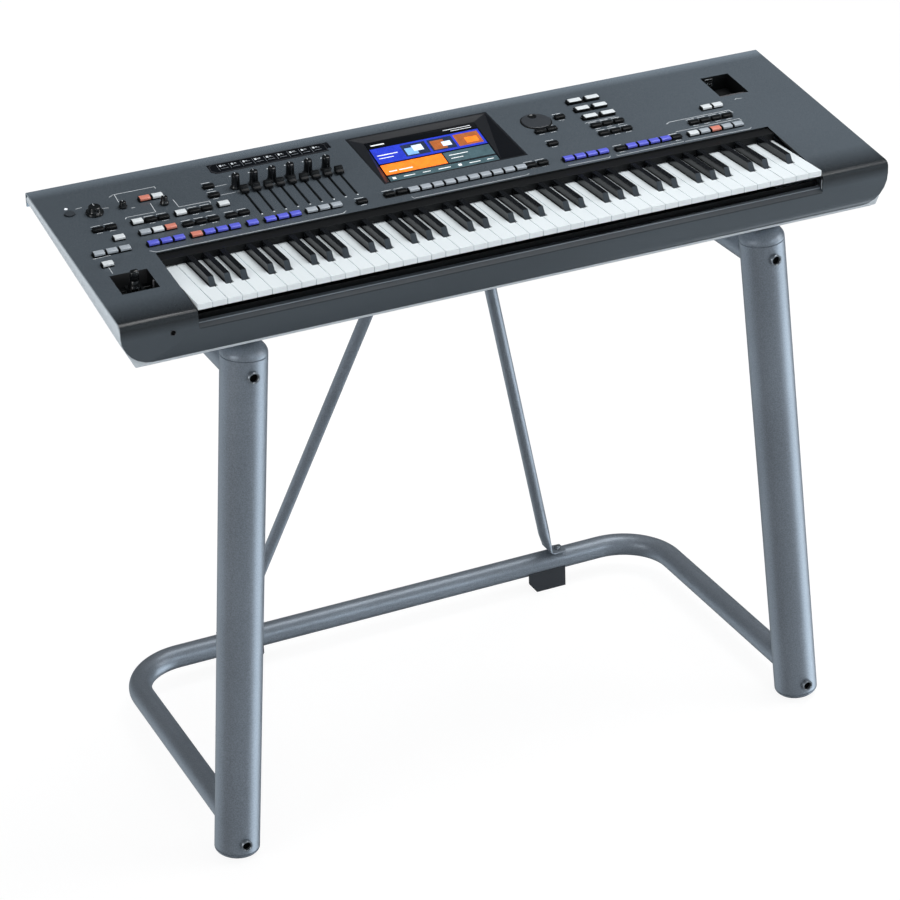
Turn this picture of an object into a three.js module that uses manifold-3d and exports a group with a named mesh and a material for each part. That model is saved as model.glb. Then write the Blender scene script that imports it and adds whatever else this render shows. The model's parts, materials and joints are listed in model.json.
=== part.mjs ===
// Arranger keyboard bolted to its tubular stand. Millimetres, +Z up, +X to the player's right, +Y to
// the back.
// The keyboard is drawn with y = 0 at the front of the white keys and z = 0 on top of them. The whole
// object is then set down so that the origin is on the floor, in the middle of its outer size.
import * as THREE from 'three';
import { mergeVertices } from 'three/addons/utils/BufferGeometryUtils.js';
import Module from 'manifold-3d';

const wasm = await Module();
wasm.setup();

// Fits
const seatGap = 0.3;
const runningGap = 0.5;
const overrun = 5;
const roundSides = 24;
const smallSides = 16;
const filletSteps = 4;

// Keys
const whiteCount = 45;
const keyGap = 0.9;
const whiteHeight = 9;
const whiteFrontLength = 47;
const keyTuck = 20.9;
const blackFrontGap = 2.5;
const blackSlope = 9.5;
const blackHeight = 11;
const blackBaseWidth = 10.4;
const blackTopWidth = 8.6;
const blackDepth = 6;
const blackTailWidth = 8.2;
const blackTailRoom = 2.8;
const blackTailLift = 2.4;
const blackClearance = 0.9;
const pivotSpacing = 16;
const pivotToScreen = 13.6;
const hingeStripDepth = 10;
const pivotRailThickness = 5;

// Case
const caseWidth = 1234;
const cheekWidth = 115.7;
const panelFrontY = -3;
const panelFrontZ = -7.5;
const panelSlope = 7.96;
const panelDepth = 409;
const panelThickness = 3;
const wallThickness = 3;
const noseRadius = 9;
const rearRadius = 6;
const rearLipDepth = 24;
const keyWellShare = 0.411;
const wellSideGap = 1;
const railTopZ = -26;
const railCreaseZ = -34.6;
const railTopSetback = 10;
const skirtBottomZ = -70;
const skirtCornerRadius = 44;
const caseBottomZ = -81;
const trayFrontZ = -74.5;
const trayFrontChamfer = 12;
const sideBandFront = 31;
const sideBandRear = 14;
const sideUndercut = 0.5;
const fasciaThickness = 1.6;
const fasciaBottomZ = 1.3;
const fasciaDrop = 0.8;
const fasciaReach = 8;
const bedThickness = 2.5;
const bedFrontY = 15;
const bedFrontTopZ = -21.5;
const bedSideGap = 1.5;

// Main board
const boardWidth = 260;
const boardDepth = 120;
const boardThickness = 1.6;
const boardLift = 12;
const boardPostSize = 8;
const boardRearGap = 33.7;

// Screen
const screenWidth = 237;
const screenFrontShare = 0.557;
const screenRearShare = 0.921;
const bezelThickness = 34;
const bezelRim = 3;
const displayWidth = 186;
const displayFrontSet = 37;
const displayRearMargin = 12;
const displayFrontDrop = 22;
const displayRearDrop = 6.4;
const glassThickness = 2;

// Strip display
const stripWidth = 196;
const stripDepth = 18;
const stripScreenGap = 29;
const stripDepthShare = 0.907;
const stripThickness = 5;

// Recesses
const joyWellWidth = 56;
const joyWellLength = 54;
const joyWellXShare = -0.902;
const joyWellDepthShare = 0.259;
const joyWellDepth = 24;
const usbWellWidth = 50;
const usbWellLength = 68;
const usbWellXShare = 0.823;
const usbWellDepthShare = 0.769;
const usbWellDepth = 26;
const usbFloorShare = 0.55;
const pocketWall = 2;

// Joystick
const gimbalSize = 24;
const gimbalHole = 15;
const gimbalThickness = 4;
const gimbalDrop = 13;
const trunnionDiameter = 3;
const stickBallDiameter = 10;
const stickDiameter = 7;
const stickCapDiameter = 14;
const stickCapHeight = 16;
const stickRise = 19;

// Knobs
const knobXShares = [-0.53, -0.483, -0.436, -0.389, -0.342, -0.295];
const knobDepthShare = 0.738;
const knobBaseDiameter = 17;
const knobTopDiameter = 12;
const knobHeight = 23;
const knobSkirtHeight = 5;
const stubDiameter = 6;
const masterDiameter = 27;
const masterTopDiameter = 19;
const masterHeight = 12;
const masterXShare = -0.882;
const masterDepthShare = 0.755;
const micDiameter = 13;
const micTopDiameter = 10;
const micHeight = 10;
const micXShare = -0.811;
const micDepthShare = 0.757;
const balanceDiameter = 13;
const balanceTopDiameter = 9;
const balanceHeight = 13;
const balanceXShare = -0.715;
const balanceDepthShare = 0.723;
const skirtShare = 0.34;
const dialDiameter = 46;
const dialHeight = 3.2;
const dialDishDiameter = 13;
const dialDishDepth = 1.6;
const dialDishShare = 0.62;
const dialXShare = 0.287;
const dialDepthShare = 0.777;

// Faders
const faderCount = 9;
const faderPitch = 19;
const faderXShare = -0.3955;
const faderKnobGap = 2.6;
const faderTravel = 60;
const slotWidth = 2.6;
const slotMargin = 6;
const stemThickness = 1.6;
const stemLength = 6;
const faderCapWidth = 12;
const faderCapLength = 13;
const faderCapHeight = 9;
const faderStepHeight = 5;
const faderStepShare = 0.42;
const faderLift = 1.2;
const faderShoeWidth = 5;
const faderShoeThickness = 2;

// Push buttons
const buttonPitchShare = 0.0318;
const buttonLand = 3.7;
const buttonLength = 9;
const slimMargin = 1;
const slimLength = 6;
const buttonRise = 4;
const buttonClearance = 0.5;
const carrierThickness = 2;
const carrierDrop = 2.2;
const carrierMargin = 4;

// Rows of buttons: x of the first button as a share of half the case width, place from the front edge as
// a share of the panel's depth, how many follow at one pitch, and whether they are the slim ones.
const leftRowShares = [
  [-0.8055, 0.47, 3, false], [-0.6985, 0.47, 1, false], [-0.6665, 0.47, 3, false],
  [-0.558, 0.47, 1, false], [-0.513, 0.47, 3, false], [-0.407, 0.473, 3, false],
  [-0.279, 0.463, 1, true],
];
const leftUpperShares = [
  [-0.938, 0.474, 3, false], [-0.935, 0.396, 1, false], [-0.902, 0.633, 2, true],
  [-0.87, 0.552, 1, false], [-0.8055, 0.553, 3, false], [-0.8055, 0.633, 1, false],
  [-0.772, 0.63, 2, true], [-0.752, 0.78, 2, false], [-0.697, 0.634, 1, false],
  [-0.663, 0.63, 2, true], [-0.588, 0.636, 1, false], [-0.6985, 0.55, 3, true],
  [-0.59, 0.55, 2, true], [-0.59, 0.776, 1, true], [-0.593, 0.708, 1, true],
  [-0.938, 0.78, 1, true],
];
const screenRowShares = [
  [-0.204, 0.475, 2, true], [-0.142, 0.471, 10, false], [0.174, 0.474, 2, true],
];
const rightRowShares = [
  [0.272, 0.464, 4, false], [0.415, 0.461, 1, true], [0.4455, 0.463, 4, false],
  [0.572, 0.461, 1, true], [0.619, 0.461, 5, false],
];
const rightUpperShares = [
  [0.35, 0.77, 1, true], [0.272, 0.697, 2, true], [0.272, 0.592, 1, true],
  [0.415, 0.658, 3, true], [0.415, 0.592, 3, true],
  [0.65, 0.539, 4, true], [0.716, 0.626, 2, false],
];
const voiceKeyWidth = 24;
const voiceKeyXShares = [0.4205, 0.47];
const voiceKeyDepthShares = [0.727, 0.794, 0.861];

// Plates that carry the rows of buttons: left and right ends as shares of half the case width, front and
// rear edges as shares of the panel's depth.
const leftRowPlateShares = [[-0.8185, -0.267, 0.46, 0.48]];
const leftUpperPlateShares = [
  [-0.951, -0.555, 0.54, 0.65], [-0.951, -0.855, 0.385, 0.54], [-0.765, -0.575, 0.64, 0.792],
  [-0.951, -0.925, 0.62, 0.79],
];
const screenRowPlateShares = [[-0.216, 0.218, 0.462, 0.482]];
const rightRowPlateShares = [[0.259, 0.76, 0.452, 0.471]];
const rightUpperPlateShares = [
  [0.26, 0.489, 0.585, 0.872], [0.489, 0.64, 0.588, 0.602], [0.638, 0.76, 0.531, 0.637],
];

// Stand
const floorZ = -934;
const legDiameter = 67;
const legWall = 2.5;
const legTopInset = 192.4;
const legTopY = 41;
const legTopZ = -109.5;
const legFootInset = 121.2;
const legFootY = 31.3;
const legFootRise = 14.2;
const capPlugLength = 15;
const capRoundSteps = 5;
const topCapHeight = 24;
const padDiameter = 30;
const tubeDiameter = 38.5;
const tubeWall = 2;
const tubeSides = 16;
const bendSteps = 7;
const topFrameZ = -145;
const topFrameRearY = 323;
const baseTubeRise = 47;
const baseTubeRearY = 549;
const bendRadius = 95;
const postInset = 128;
const postWidth = 40;
const postDepth = 24;
const braceDiameter = 19.5;
const braceFootOffset = 9;
const braceFootSetback = 5;
const braceHeadX = 84;
const braceTabLength = 30;
const braceTabWidth = 30;
const braceTabThickness = 3;
const rearFootInset = 207;
const rearFootWidth = 72;
const rearFootDepth = 37;
const rearFootRise = 8;
const rearFootChamfer = 16;
const rearFootChamferHeight = 22;
const rearFootTaper = 19;

// Worked out from the sizes above
const halfCase = caseWidth / 2;
const keyPitch = (caseWidth - 2 * cheekWidth) / whiteCount;
const buttonPitch = buttonPitchShare * halfCase;
const buttonWidth = buttonPitch - buttonLand;
const slimWidth = buttonWidth - slimMargin;
const legTopX = halfCase - legTopInset;
const legFootX = halfCase - legFootInset;
const legFootZ = floorZ + legFootRise;
const baseTubeZ = floorZ + baseTubeRise;
const halfKeys = (whiteCount * keyPitch) / 2 + wellSideGap;
const slope = THREE.MathUtils.degToRad(panelSlope);
const legRadius = legDiameter / 2;
const tubeRadius = tubeDiameter / 2;
const panelMatrix = new THREE.Matrix4()
  .makeTranslation(0, panelFrontY, panelFrontZ)
  .multiply(new THREE.Matrix4().makeRotationX(slope));
const panelZ = (y) => panelFrontZ + (y - panelFrontY) * Math.tan(slope);
const panelPoint = (place, lift) => {
  const point = new THREE.Vector3(0, place, lift).applyMatrix4(panelMatrix);
  return [point.y, point.z];
};
const wellRearY = panelPoint(keyWellShare * panelDepth, 0)[0];
const keySeenLength = wellRearY - keyTuck;
const underPlateZ = (y) => panelZ(y) - panelThickness / Math.cos(slope) - seatGap;
const ledgeTopZ = underPlateZ(wellRearY);
const fasciaTopZ = ledgeTopZ - fasciaDrop;
const blackTailHeight = ledgeTopZ - fasciaThickness - blackTailRoom;
const screenPlace = screenFrontShare * panelDepth;
const screenDepth = screenRearShare * panelDepth - screenPlace;
const blackPivotY = panelPoint(screenPlace, 0)[0] - pivotToScreen;
const whitePivotY = blackPivotY - pivotSpacing;

// Solids and booleans
function solid(geometry) {
  const bare = geometry.index ? geometry.toNonIndexed() : geometry.clone();
  bare.deleteAttribute('normal');
  bare.deleteAttribute('uv');
  const merged = mergeVertices(bare);
  return new wasm.Manifold(new wasm.Mesh({
    numProp: 3,
    vertProperties: new Float32Array(merged.attributes.position.array),
    triVerts: new Uint32Array(merged.index.array),
  }));
}

function shell(body) {
  const mesh = body.getMesh();
  const geometry = new THREE.BufferGeometry();
  geometry.setAttribute('position', new THREE.BufferAttribute(new Float32Array(mesh.vertProperties), 3));
  geometry.setIndex(new THREE.BufferAttribute(new Uint32Array(mesh.triVerts), 1));
  return geometry;
}

const join = (bodies) => bodies.reduce((whole, body) => whole.add(body));
const cut = (body, tools) => tools.reduce((rest, tool) => rest.subtract(tool), body);

// Shapes
function box(x0, x1, y0, y1, z0, z1) {
  const geometry = new THREE.BoxGeometry(x1 - x0, y1 - y0, z1 - z0);
  return geometry.translate((x0 + x1) / 2, (y0 + y1) / 2, (z0 + z1) / 2);
}

function prism(points, depth) {
  const shape = new THREE.Shape(points.map(([a, b]) => new THREE.Vector2(a, b)));
  return new THREE.ExtrudeGeometry(shape, { depth, bevelEnabled: false });
}

const alongX = new THREE.Matrix4().makeBasis(
  new THREE.Vector3(0, 1, 0), new THREE.Vector3(0, 0, 1), new THREE.Vector3(1, 0, 0));
const alongY = new THREE.Matrix4().makeBasis(
  new THREE.Vector3(1, 0, 0), new THREE.Vector3(0, 0, 1), new THREE.Vector3(0, -1, 0));

const slabAlongX = (points, x0, x1) => prism(points, x1 - x0).applyMatrix4(alongX).translate(x0, 0, 0);
const slabAlongY = (points, y0, y1) => prism(points, y1 - y0).applyMatrix4(alongY).translate(0, y1, 0);
const slabAlongZ = (points, z0, z1) => prism(points, z1 - z0).translate(0, 0, z0);
const onPanel = (geometry) => geometry.applyMatrix4(panelMatrix);

// A block with four corners below and four above, each list anticlockwise seen from above.
function block(lower, upper) {
  const corners = [...lower, ...upper].flat();
  const faces = [
    0, 2, 1, 0, 3, 2, 4, 5, 6, 4, 6, 7,
    0, 1, 5, 0, 5, 4, 1, 2, 6, 1, 6, 5,
    2, 3, 7, 2, 7, 6, 3, 0, 4, 3, 4, 7,
  ];
  const geometry = new THREE.BufferGeometry();
  geometry.setAttribute('position', new THREE.Float32BufferAttribute(corners, 3));
  geometry.setIndex(faces);
  return geometry;
}

function arc(centreA, centreB, radius, startAngle, endAngle, steps) {
  return Array.from({ length: steps + 1 }, (_, i) => {
    const angle = THREE.MathUtils.degToRad(startAngle + ((endAngle - startAngle) * i) / steps);
    return [centreA + radius * Math.cos(angle), centreB + radius * Math.sin(angle)];
  });
}

// A turned piece standing on the origin, its axis along +Z.
function turned(profile, sides) {
  const points = profile.map(([r, h]) => new THREE.Vector2(r, h));
  return new THREE.LatheGeometry(points, sides).rotateX(Math.PI / 2);
}

function rod(from, to, radius, sides) {
  const start = new THREE.Vector3(...from);
  const span = new THREE.Vector3(...to).sub(start);
  const geometry = new THREE.CylinderGeometry(radius, radius, span.length(), sides);
  const direction = span.clone().normalize();
  const turn = new THREE.Quaternion().setFromUnitVectors(new THREE.Vector3(0, 1, 0), direction);
  return geometry.applyQuaternion(turn).translate(...start.addScaledVector(span, 1 / 2).toArray());
}

const object = new THREE.Group();
object.name = 'arranger_keyboard';

function addPiece(name, geometry, colour, roughness, metalness) {
  const material = new THREE.MeshStandardMaterial({ color: colour, roughness, metalness });
  const mesh = new THREE.Mesh(geometry, material);
  mesh.name = name;
  object.add(mesh);
  return mesh;
}

const finishes = {
  panel: ['#4b5058', 0.45, 0.3],
  tray: ['#dfe5ec', 0.5, 0],
  black: ['#16171a', 0.5, 0],
  whiteKey: ['#f2f4f6', 0.4, 0],
  blackKey: ['#1b1d20', 0.35, 0],
  stand: ['#6a737d', 0.5, 0.6],
  rubber: ['#2f343a', 0.8, 0],
  glass: ['#10131c', 0.08, 0],
  button: ['#c9ced6', 0.5, 0],
  board: ['#2b5a3c', 0.6, 0],
};

// Keys: the naturals and the sharps of each run are moulded as two combs on their own hinge strips.
const letterCount = 7;
const runCounts = [5, 7, 7, 7, 7, 7, 5];
const sharpOffsetShares = { 1: -0.1, 2: 0, 3: 0.1, 5: -0.06, 6: 0.06 };
const keyEdge = (index) => (index - whiteCount / 2) * keyPitch;

function sharpAfter(index) {
  const letter = index % letterCount;
  if (!(letter in sharpOffsetShares) || index < 0 || index > whiteCount - 2) {
    return null;
  }
  return keyEdge(index + 1) + sharpOffsetShares[letter] * keyPitch;
}

const halfSlot = blackBaseWidth / 2 + blackClearance;
const whiteStripFront = whitePivotY - hingeStripDepth / 2;
const whiteStripRear = whitePivotY + hingeStripDepth / 2;

function whiteComb(first, count) {
  const last = first + count - 1;
  const left = keyEdge(first) + keyGap / 2;
  const right = keyEdge(last + 1) - keyGap / 2;
  const outline = [[right, whiteStripRear], [left, whiteStripRear]];
  for (let index = first; index <= last; index += 1) {
    const wideLeft = keyEdge(index) + keyGap / 2;
    const wideRight = keyEdge(index + 1) - keyGap / 2;
    const sharpLeft = sharpAfter(index - 1);
    const sharpRight = sharpAfter(index);
    const narrowLeft = sharpLeft === null ? wideLeft : sharpLeft + halfSlot;
    const narrowRight = sharpRight === null ? wideRight : sharpRight - halfSlot;
    if (index > first || sharpLeft !== null) {
      outline.push([narrowLeft, whiteStripFront]);
    }
    if (sharpLeft !== null) {
      outline.push([narrowLeft, whiteFrontLength], [wideLeft, whiteFrontLength]);
    }
    outline.push([wideLeft, 0], [wideRight, 0]);
    if (sharpRight !== null) {
      outline.push([wideRight, whiteFrontLength], [narrowRight, whiteFrontLength]);
    }
    if (index < last || sharpRight !== null) {
      outline.push([narrowRight, whiteStripFront]);
    }
    if (index === first && sharpLeft !== null) {
      outline.splice(2, 0, [left, whiteStripFront]);
    }
    if (index === last && sharpRight !== null) {
      outline.push([right, whiteStripFront]);
    }
  }
  return slabAlongZ(outline, -whiteHeight, 0);
}

const blackFrontY = whiteFrontLength + blackFrontGap;
const blackStripFront = blackPivotY - hingeStripDepth / 2;
const blackStripRear = blackPivotY + hingeStripDepth / 2;

function blackComb(first, count) {
  const places = [];
  for (let index = first; index < first + count; index += 1) {
    if (sharpAfter(index) !== null && index < first + count - 1) {
      places.push(sharpAfter(index));
    }
  }
  const ring = (x, width, front, rear, z) => [
    [x - width / 2, front, z], [x + width / 2, front, z], [x + width / 2, rear, z], [x - width / 2, rear, z],
  ];
  const keys = places.map((x) => join([
    solid(block(
      ring(x, blackBaseWidth, blackFrontY, keySeenLength, -blackDepth),
      ring(x, blackTopWidth, blackFrontY + blackSlope, keySeenLength, blackHeight))),
    solid(box(x - blackTailWidth / 2, x + blackTailWidth / 2, keySeenLength - overrun, blackStripRear,
      blackTailLift, blackTailHeight)),
  ]));
  const stripLeft = places[0] - blackBaseWidth / 2;
  const stripRight = places[places.length - 1] + blackBaseWidth / 2;
  const strip = box(stripLeft, stripRight, blackStripFront, blackStripRear, -whiteHeight, blackTailHeight);
  return shell(join([...keys, solid(strip)]));
}

const runNames = ['lowest', 'second', 'third', 'fourth', 'fifth', 'sixth', 'highest'];
let runStart = 0;
runCounts.forEach((count, run) => {
  addPiece(`${runNames[run]}_white_keys`, whiteComb(runStart, count), ...finishes.whiteKey);
  addPiece(`${runNames[run]}_black_keys`, blackComb(runStart, count), ...finishes.blackKey);
  runStart += count;
});

// Key bed: folded tray with a front wall and the two rails that the hinge strips rock on.
const floorInsideZ = caseBottomZ + wallThickness + seatGap;
const bedFloorZ = floorInsideZ + bedThickness;
const railZ = -whiteHeight - seatGap;
const bedProfile = [
  [bedFrontY, floorInsideZ],
  [blackPivotY + pivotRailThickness / 2, floorInsideZ],
  [blackPivotY + pivotRailThickness / 2, railZ],
  [blackPivotY - pivotRailThickness / 2, railZ],
  [blackPivotY - pivotRailThickness / 2, bedFloorZ],
  [whitePivotY + pivotRailThickness / 2, bedFloorZ],
  [whitePivotY + pivotRailThickness / 2, railZ],
  [whitePivotY - pivotRailThickness / 2, railZ],
  [whitePivotY - pivotRailThickness / 2, bedFloorZ],
  [bedFrontY + bedThickness, bedFloorZ],
  [bedFrontY + bedThickness, bedFrontTopZ],
  [bedFrontY, bedFrontTopZ],
];
const bedHalf = halfKeys - bedSideGap;
addPiece('key_bed', slabAlongX(bedProfile, -bedHalf, bedHalf), ...finishes.black);

// Top panel: sloping plate with a rounded nose, a front skirt and a rolled rear lip.
const [rearTopY] = panelPoint(panelDepth, 0);
const rearWallY = rearTopY + rearRadius * Math.tan((Math.PI / 2 - slope) / 2) * Math.sin(slope);
const noseCentreY = panelFrontY + noseRadius;
const noseCentreZ = panelZ(noseCentreY) - noseRadius / Math.cos(slope);
const rearCentreY = rearWallY - rearRadius;
const rearCentreZ = panelZ(rearCentreY) - rearRadius / Math.cos(slope);
const rearLipZ = panelZ(rearWallY) - rearLipDepth;
const outerProfile = [
  [panelFrontY, skirtBottomZ],
  [panelFrontY + panelThickness, skirtBottomZ],
  ...arc(noseCentreY, noseCentreZ, noseRadius - panelThickness, 180, 90 + panelSlope, filletSteps),
  ...arc(rearCentreY, rearCentreZ, rearRadius - panelThickness, 90 + panelSlope, 0, filletSteps),
  [rearWallY - panelThickness, rearLipZ],
  [rearWallY, rearLipZ],
  ...arc(rearCentreY, rearCentreZ, rearRadius, 0, 90 + panelSlope, filletSteps),
  ...arc(noseCentreY, noseCentreZ, noseRadius, 90 + panelSlope, 180, filletSteps),
].reverse();
const skirtCorner = (side, start) => arc(
  side * (halfCase - skirtCornerRadius), skirtBottomZ + skirtCornerRadius, skirtCornerRadius,
  start, start + 90, filletSteps + 2);
const frontOutline = [
  ...skirtCorner(-1, 180),
  ...skirtCorner(1, 270),
  [halfCase, panelDepth],
  [-halfCase, panelDepth],
];
const skirtBackY = panelFrontY + panelThickness;
const railProfile = [
  [panelFrontY, railCreaseZ - panelThickness],
  [skirtBackY, railCreaseZ - panelThickness],
  [panelFrontY + railTopSetback, railTopZ - panelThickness],
  [panelFrontY + railTopSetback, railTopZ],
  [panelFrontY, railCreaseZ],
];

function panelCut(xShare, depthShare, width, length) {
  const x = xShare * halfCase;
  const place = depthShare * panelDepth;
  const reach = panelThickness + overrun;
  const tool = box(x - width / 2, x + width / 2, place - length / 2, place + length / 2, -reach, overrun);
  return solid(onPanel(tool));
}

function panelBore(xShare, depthShare, diameter) {
  const reach = panelThickness + overrun;
  const radius = diameter / 2;
  const bore = turned([[0, -reach], [radius, -reach], [radius, overrun], [0, overrun]], smallSides);
  return solid(onPanel(bore.translate(xShare * halfCase, depthShare * panelDepth, 0)));
}

function eachButton(rows, make) {
  return rows.flatMap(([xShare, depthShare, count, slim]) => Array.from({ length: count }, (_, i) => (
    make(xShare + (i * buttonPitch) / halfCase, depthShare, slim ? slimWidth : buttonWidth,
      slim ? slimLength : buttonLength))));
}

const voiceKeys = (make) => voiceKeyDepthShares.flatMap((depthShare) => (
  voiceKeyXShares.map((xShare) => make(xShare, depthShare, voiceKeyWidth, buttonLength))));

const hole = (xShare, depthShare, width, length) => (
  panelCut(xShare, depthShare, width + 2 * buttonClearance, length + 2 * buttonClearance));
const buttonHoles = [
  ...[leftRowShares, leftUpperShares, screenRowShares, rightRowShares, rightUpperShares]
    .flatMap((rows) => eachButton(rows, hole)),
  ...voiceKeys(hole),
];
const stubHole = stubDiameter + 2 * runningGap;
const knobHoles = [
  ...knobXShares.map((xShare) => panelBore(xShare, knobDepthShare, stubHole)),
  panelBore(masterXShare, masterDepthShare, stubHole),
  panelBore(micXShare, micDepthShare, stubHole),
  panelBore(balanceXShare, balanceDepthShare, stubHole),
  panelBore(dialXShare, dialDepthShare, stubHole),
];
const faderX = (i) => faderXShare * halfCase + (i - (faderCount - 1) / 2) * faderPitch;
const slotLength = faderTravel + stemLength + 2 * slotMargin;
const knobFront = knobDepthShare * panelDepth - knobBaseDiameter / 2;
const faderPlace = knobFront - faderKnobGap - faderCapLength / 2;
const slotMiddle = faderPlace - faderTravel / 2;
const faderSlots = Array.from({ length: faderCount }, (_, i) => (
  panelCut(faderX(i) / halfCase, slotMiddle / panelDepth, slotWidth, slotLength)));

// A pocket is a thin-walled cup hanging below the plate. Its hollow is cut out afterwards.
function pocketPair(xShare, depthShare, width, length, depth, floorShare) {
  const x = xShare * halfCase;
  const place = depthShare * panelDepth;
  const body = (grow, top, rampTop) => {
    const [x0, x1] = [x - width / 2 - grow, x + width / 2 + grow];
    const [s0, s1] = [place - length / 2 - grow, place + length / 2 + grow];
    const middle = s0 + (s1 - s0) * (1 - floorShare);
    const low = -depth - grow;
    const lower = [[s0, top], [s0, low], [s1, low], [s1, top]];
    const sloped = [[s0, top], [s0, rampTop], [middle, low], [s1, low], [s1, top]];
    return solid(onPanel(slabAlongX(floorShare < 1 ? sloped : lower, x0, x1)));
  };
  return { outer: body(pocketWall, -panelThickness / 2, -panelThickness), inner: body(0, overrun, 0) };
}
const joyPocket = pocketPair(joyWellXShare, joyWellDepthShare, joyWellWidth, joyWellLength, joyWellDepth, 1);
const usbPocket = pocketPair(
  usbWellXShare, usbWellDepthShare, usbWellWidth, usbWellLength, usbWellDepth, usbFloorShare);

const screenOpening = solid(onPanel(box(
  -screenWidth / 2 - seatGap, screenWidth / 2 + seatGap, screenPlace - seatGap,
  screenPlace + screenDepth + seatGap, -panelThickness - overrun, overrun)));
const stripX = -screenWidth / 2 - stripScreenGap - stripWidth / 2;
const stripOpening = panelCut(
  stripX / halfCase, stripDepthShare, stripWidth + 2 * seatGap, stripDepth + 2 * seatGap);
const keyOpening = solid(box(-halfKeys, halfKeys, panelFrontY - overrun, wellRearY, railCreaseZ, panelDepth));

const plate = cut(
  solid(slabAlongX(outerProfile, -halfCase, halfCase))
    .intersect(solid(slabAlongY(frontOutline, panelFrontY - overrun, rearWallY + overrun))),
  [keyOpening]);
const rail = solid(slabAlongX(railProfile, -halfKeys - overrun, halfKeys + overrun))
  .intersect(solid(box(-halfKeys, halfKeys, panelFrontY, wellRearY, skirtBottomZ, 0)));
const panelBody = cut(join([plate, rail, joyPocket.outer, usbPocket.outer]), [
  joyPocket.inner, usbPocket.inner, screenOpening, stripOpening,
  ...faderSlots, ...knobHoles, ...buttonHoles,
]);
addPiece('top_panel', shell(panelBody), ...finishes.panel);

// Lower case: white tray whose sides lean in under a narrow band.
function trayBody(inset, openTop) {
  const front = skirtBackY + seatGap + inset;
  const rear = rearWallY - panelThickness - seatGap - inset;
  const bottom = caseBottomZ + inset;
  const lift = openTop ? panelDepth : -panelThickness / Math.cos(slope) - seatGap;
  const profile = [
    [front, trayFrontZ + inset / 2],
    [front + trayFrontChamfer - inset / 2, bottom],
    [rear, bottom],
    [rear, panelZ(rear) + lift - (openTop ? 0 : rearRadius)],
    [rear - rearRadius, panelZ(rear - rearRadius) + lift],
    [front + noseRadius, panelZ(front + noseRadius) + lift],
    [front, panelZ(front) + lift - (openTop ? 0 : noseRadius)],
  ];
  const sideX = halfCase - inset;
  const width = solid(slabAlongX(profile, -sideX, sideX));
  const low = caseBottomZ - overrun;
  const frontBandZ = panelZ(0) - sideBandFront;
  const rearBandZ = panelZ(rearWallY) - sideBandRear;
  const [y0, y1] = [-rearRadius, rearWallY + overrun];
  const bandAt = (y) => frontBandZ + ((rearBandZ - frontBandZ) * y) / rearWallY;
  const tuck = (y) => sideX - (bandAt(y) - low) * sideUndercut;
  const wedge = (side) => {
    const out = side * (sideX + overrun);
    const ringLow = [[side * tuck(y0), y0, low], [out, y0, low], [out, y1, low], [side * tuck(y1), y1, low]];
    const bandX = side * (sideX + overrun * sideUndercut);
    const ringHigh = [
      [bandX, y0, bandAt(y0) + overrun], [out, y0, bandAt(y0) + overrun],
      [out, y1, bandAt(y1) + overrun], [bandX, y1, bandAt(y1) + overrun],
    ];
    const flipped = (ring) => [ring[1], ring[0], ring[3], ring[2]];
    return solid(side > 0 ? block(ringLow, ringHigh) : block(flipped(ringLow), flipped(ringHigh)));
  };
  return cut(width, [wedge(1), wedge(-1)]);
}
const pocketRoom = solid(box(
  -halfKeys - seatGap, halfKeys + seatGap, -overrun, bedFrontY, railCreaseZ - panelThickness - seatGap, 0));
const tray = cut(trayBody(0, false), [trayBody(wallThickness, true), pocketRoom]);
addPiece('lower_case', shell(tray), ...finishes.tray);

// Fascia between the keys and the panel, notched for the black keys.
const notchHalf = blackTailWidth / 2 + runningGap;
const notchTopZ = blackTailHeight + runningGap;
const fasciaHalf = halfKeys - seatGap;
const fasciaOutline = [[fasciaHalf, fasciaTopZ], [-fasciaHalf, fasciaTopZ], [-fasciaHalf, fasciaBottomZ]];
for (let index = 0; index < whiteCount - 1; index += 1) {
  const x = sharpAfter(index);
  if (x !== null) {
    fasciaOutline.push([x - notchHalf, fasciaBottomZ], [x - notchHalf, notchTopZ]);
    fasciaOutline.push([x + notchHalf, notchTopZ], [x + notchHalf, fasciaBottomZ]);
  }
}
fasciaOutline.push([fasciaHalf, fasciaBottomZ]);
const fasciaFrontY = keySeenLength + runningGap;
const ledgeRearY = wellRearY + fasciaReach;
const ledgeProfile = [
  [fasciaFrontY, fasciaTopZ - fasciaThickness], [ledgeRearY, ledgeTopZ - fasciaThickness],
  [ledgeRearY, ledgeTopZ], [wellRearY, ledgeTopZ], [fasciaFrontY, fasciaTopZ],
];
addPiece('key_fascia', shell(join([
  solid(slabAlongY(fasciaOutline, fasciaFrontY, fasciaFrontY + fasciaThickness)),
  solid(slabAlongX(ledgeProfile, -fasciaHalf, fasciaHalf)),
])), ...finishes.black);

// Main board on four posts behind the key bed.
const boardZ = floorInsideZ + boardLift;
const boardFrontY = rearWallY - boardRearGap - boardDepth;
const boardPostRows = [boardFrontY, boardFrontY + boardDepth - boardPostSize];
const boardPosts = [-1, 1].flatMap((side) => boardPostRows.map((y) => {
  const x = side * (boardWidth - boardPostSize) / 2;
  return solid(box(x - boardPostSize / 2, x + boardPostSize / 2, y, y + boardPostSize, floorInsideZ,
    boardZ + boardThickness / 2));
}));
const board = box(
  -boardWidth / 2, boardWidth / 2, boardFrontY, boardFrontY + boardDepth, boardZ, boardZ + boardThickness);
addPiece('main_board', shell(join([solid(board), ...boardPosts])), ...finishes.board);

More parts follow.
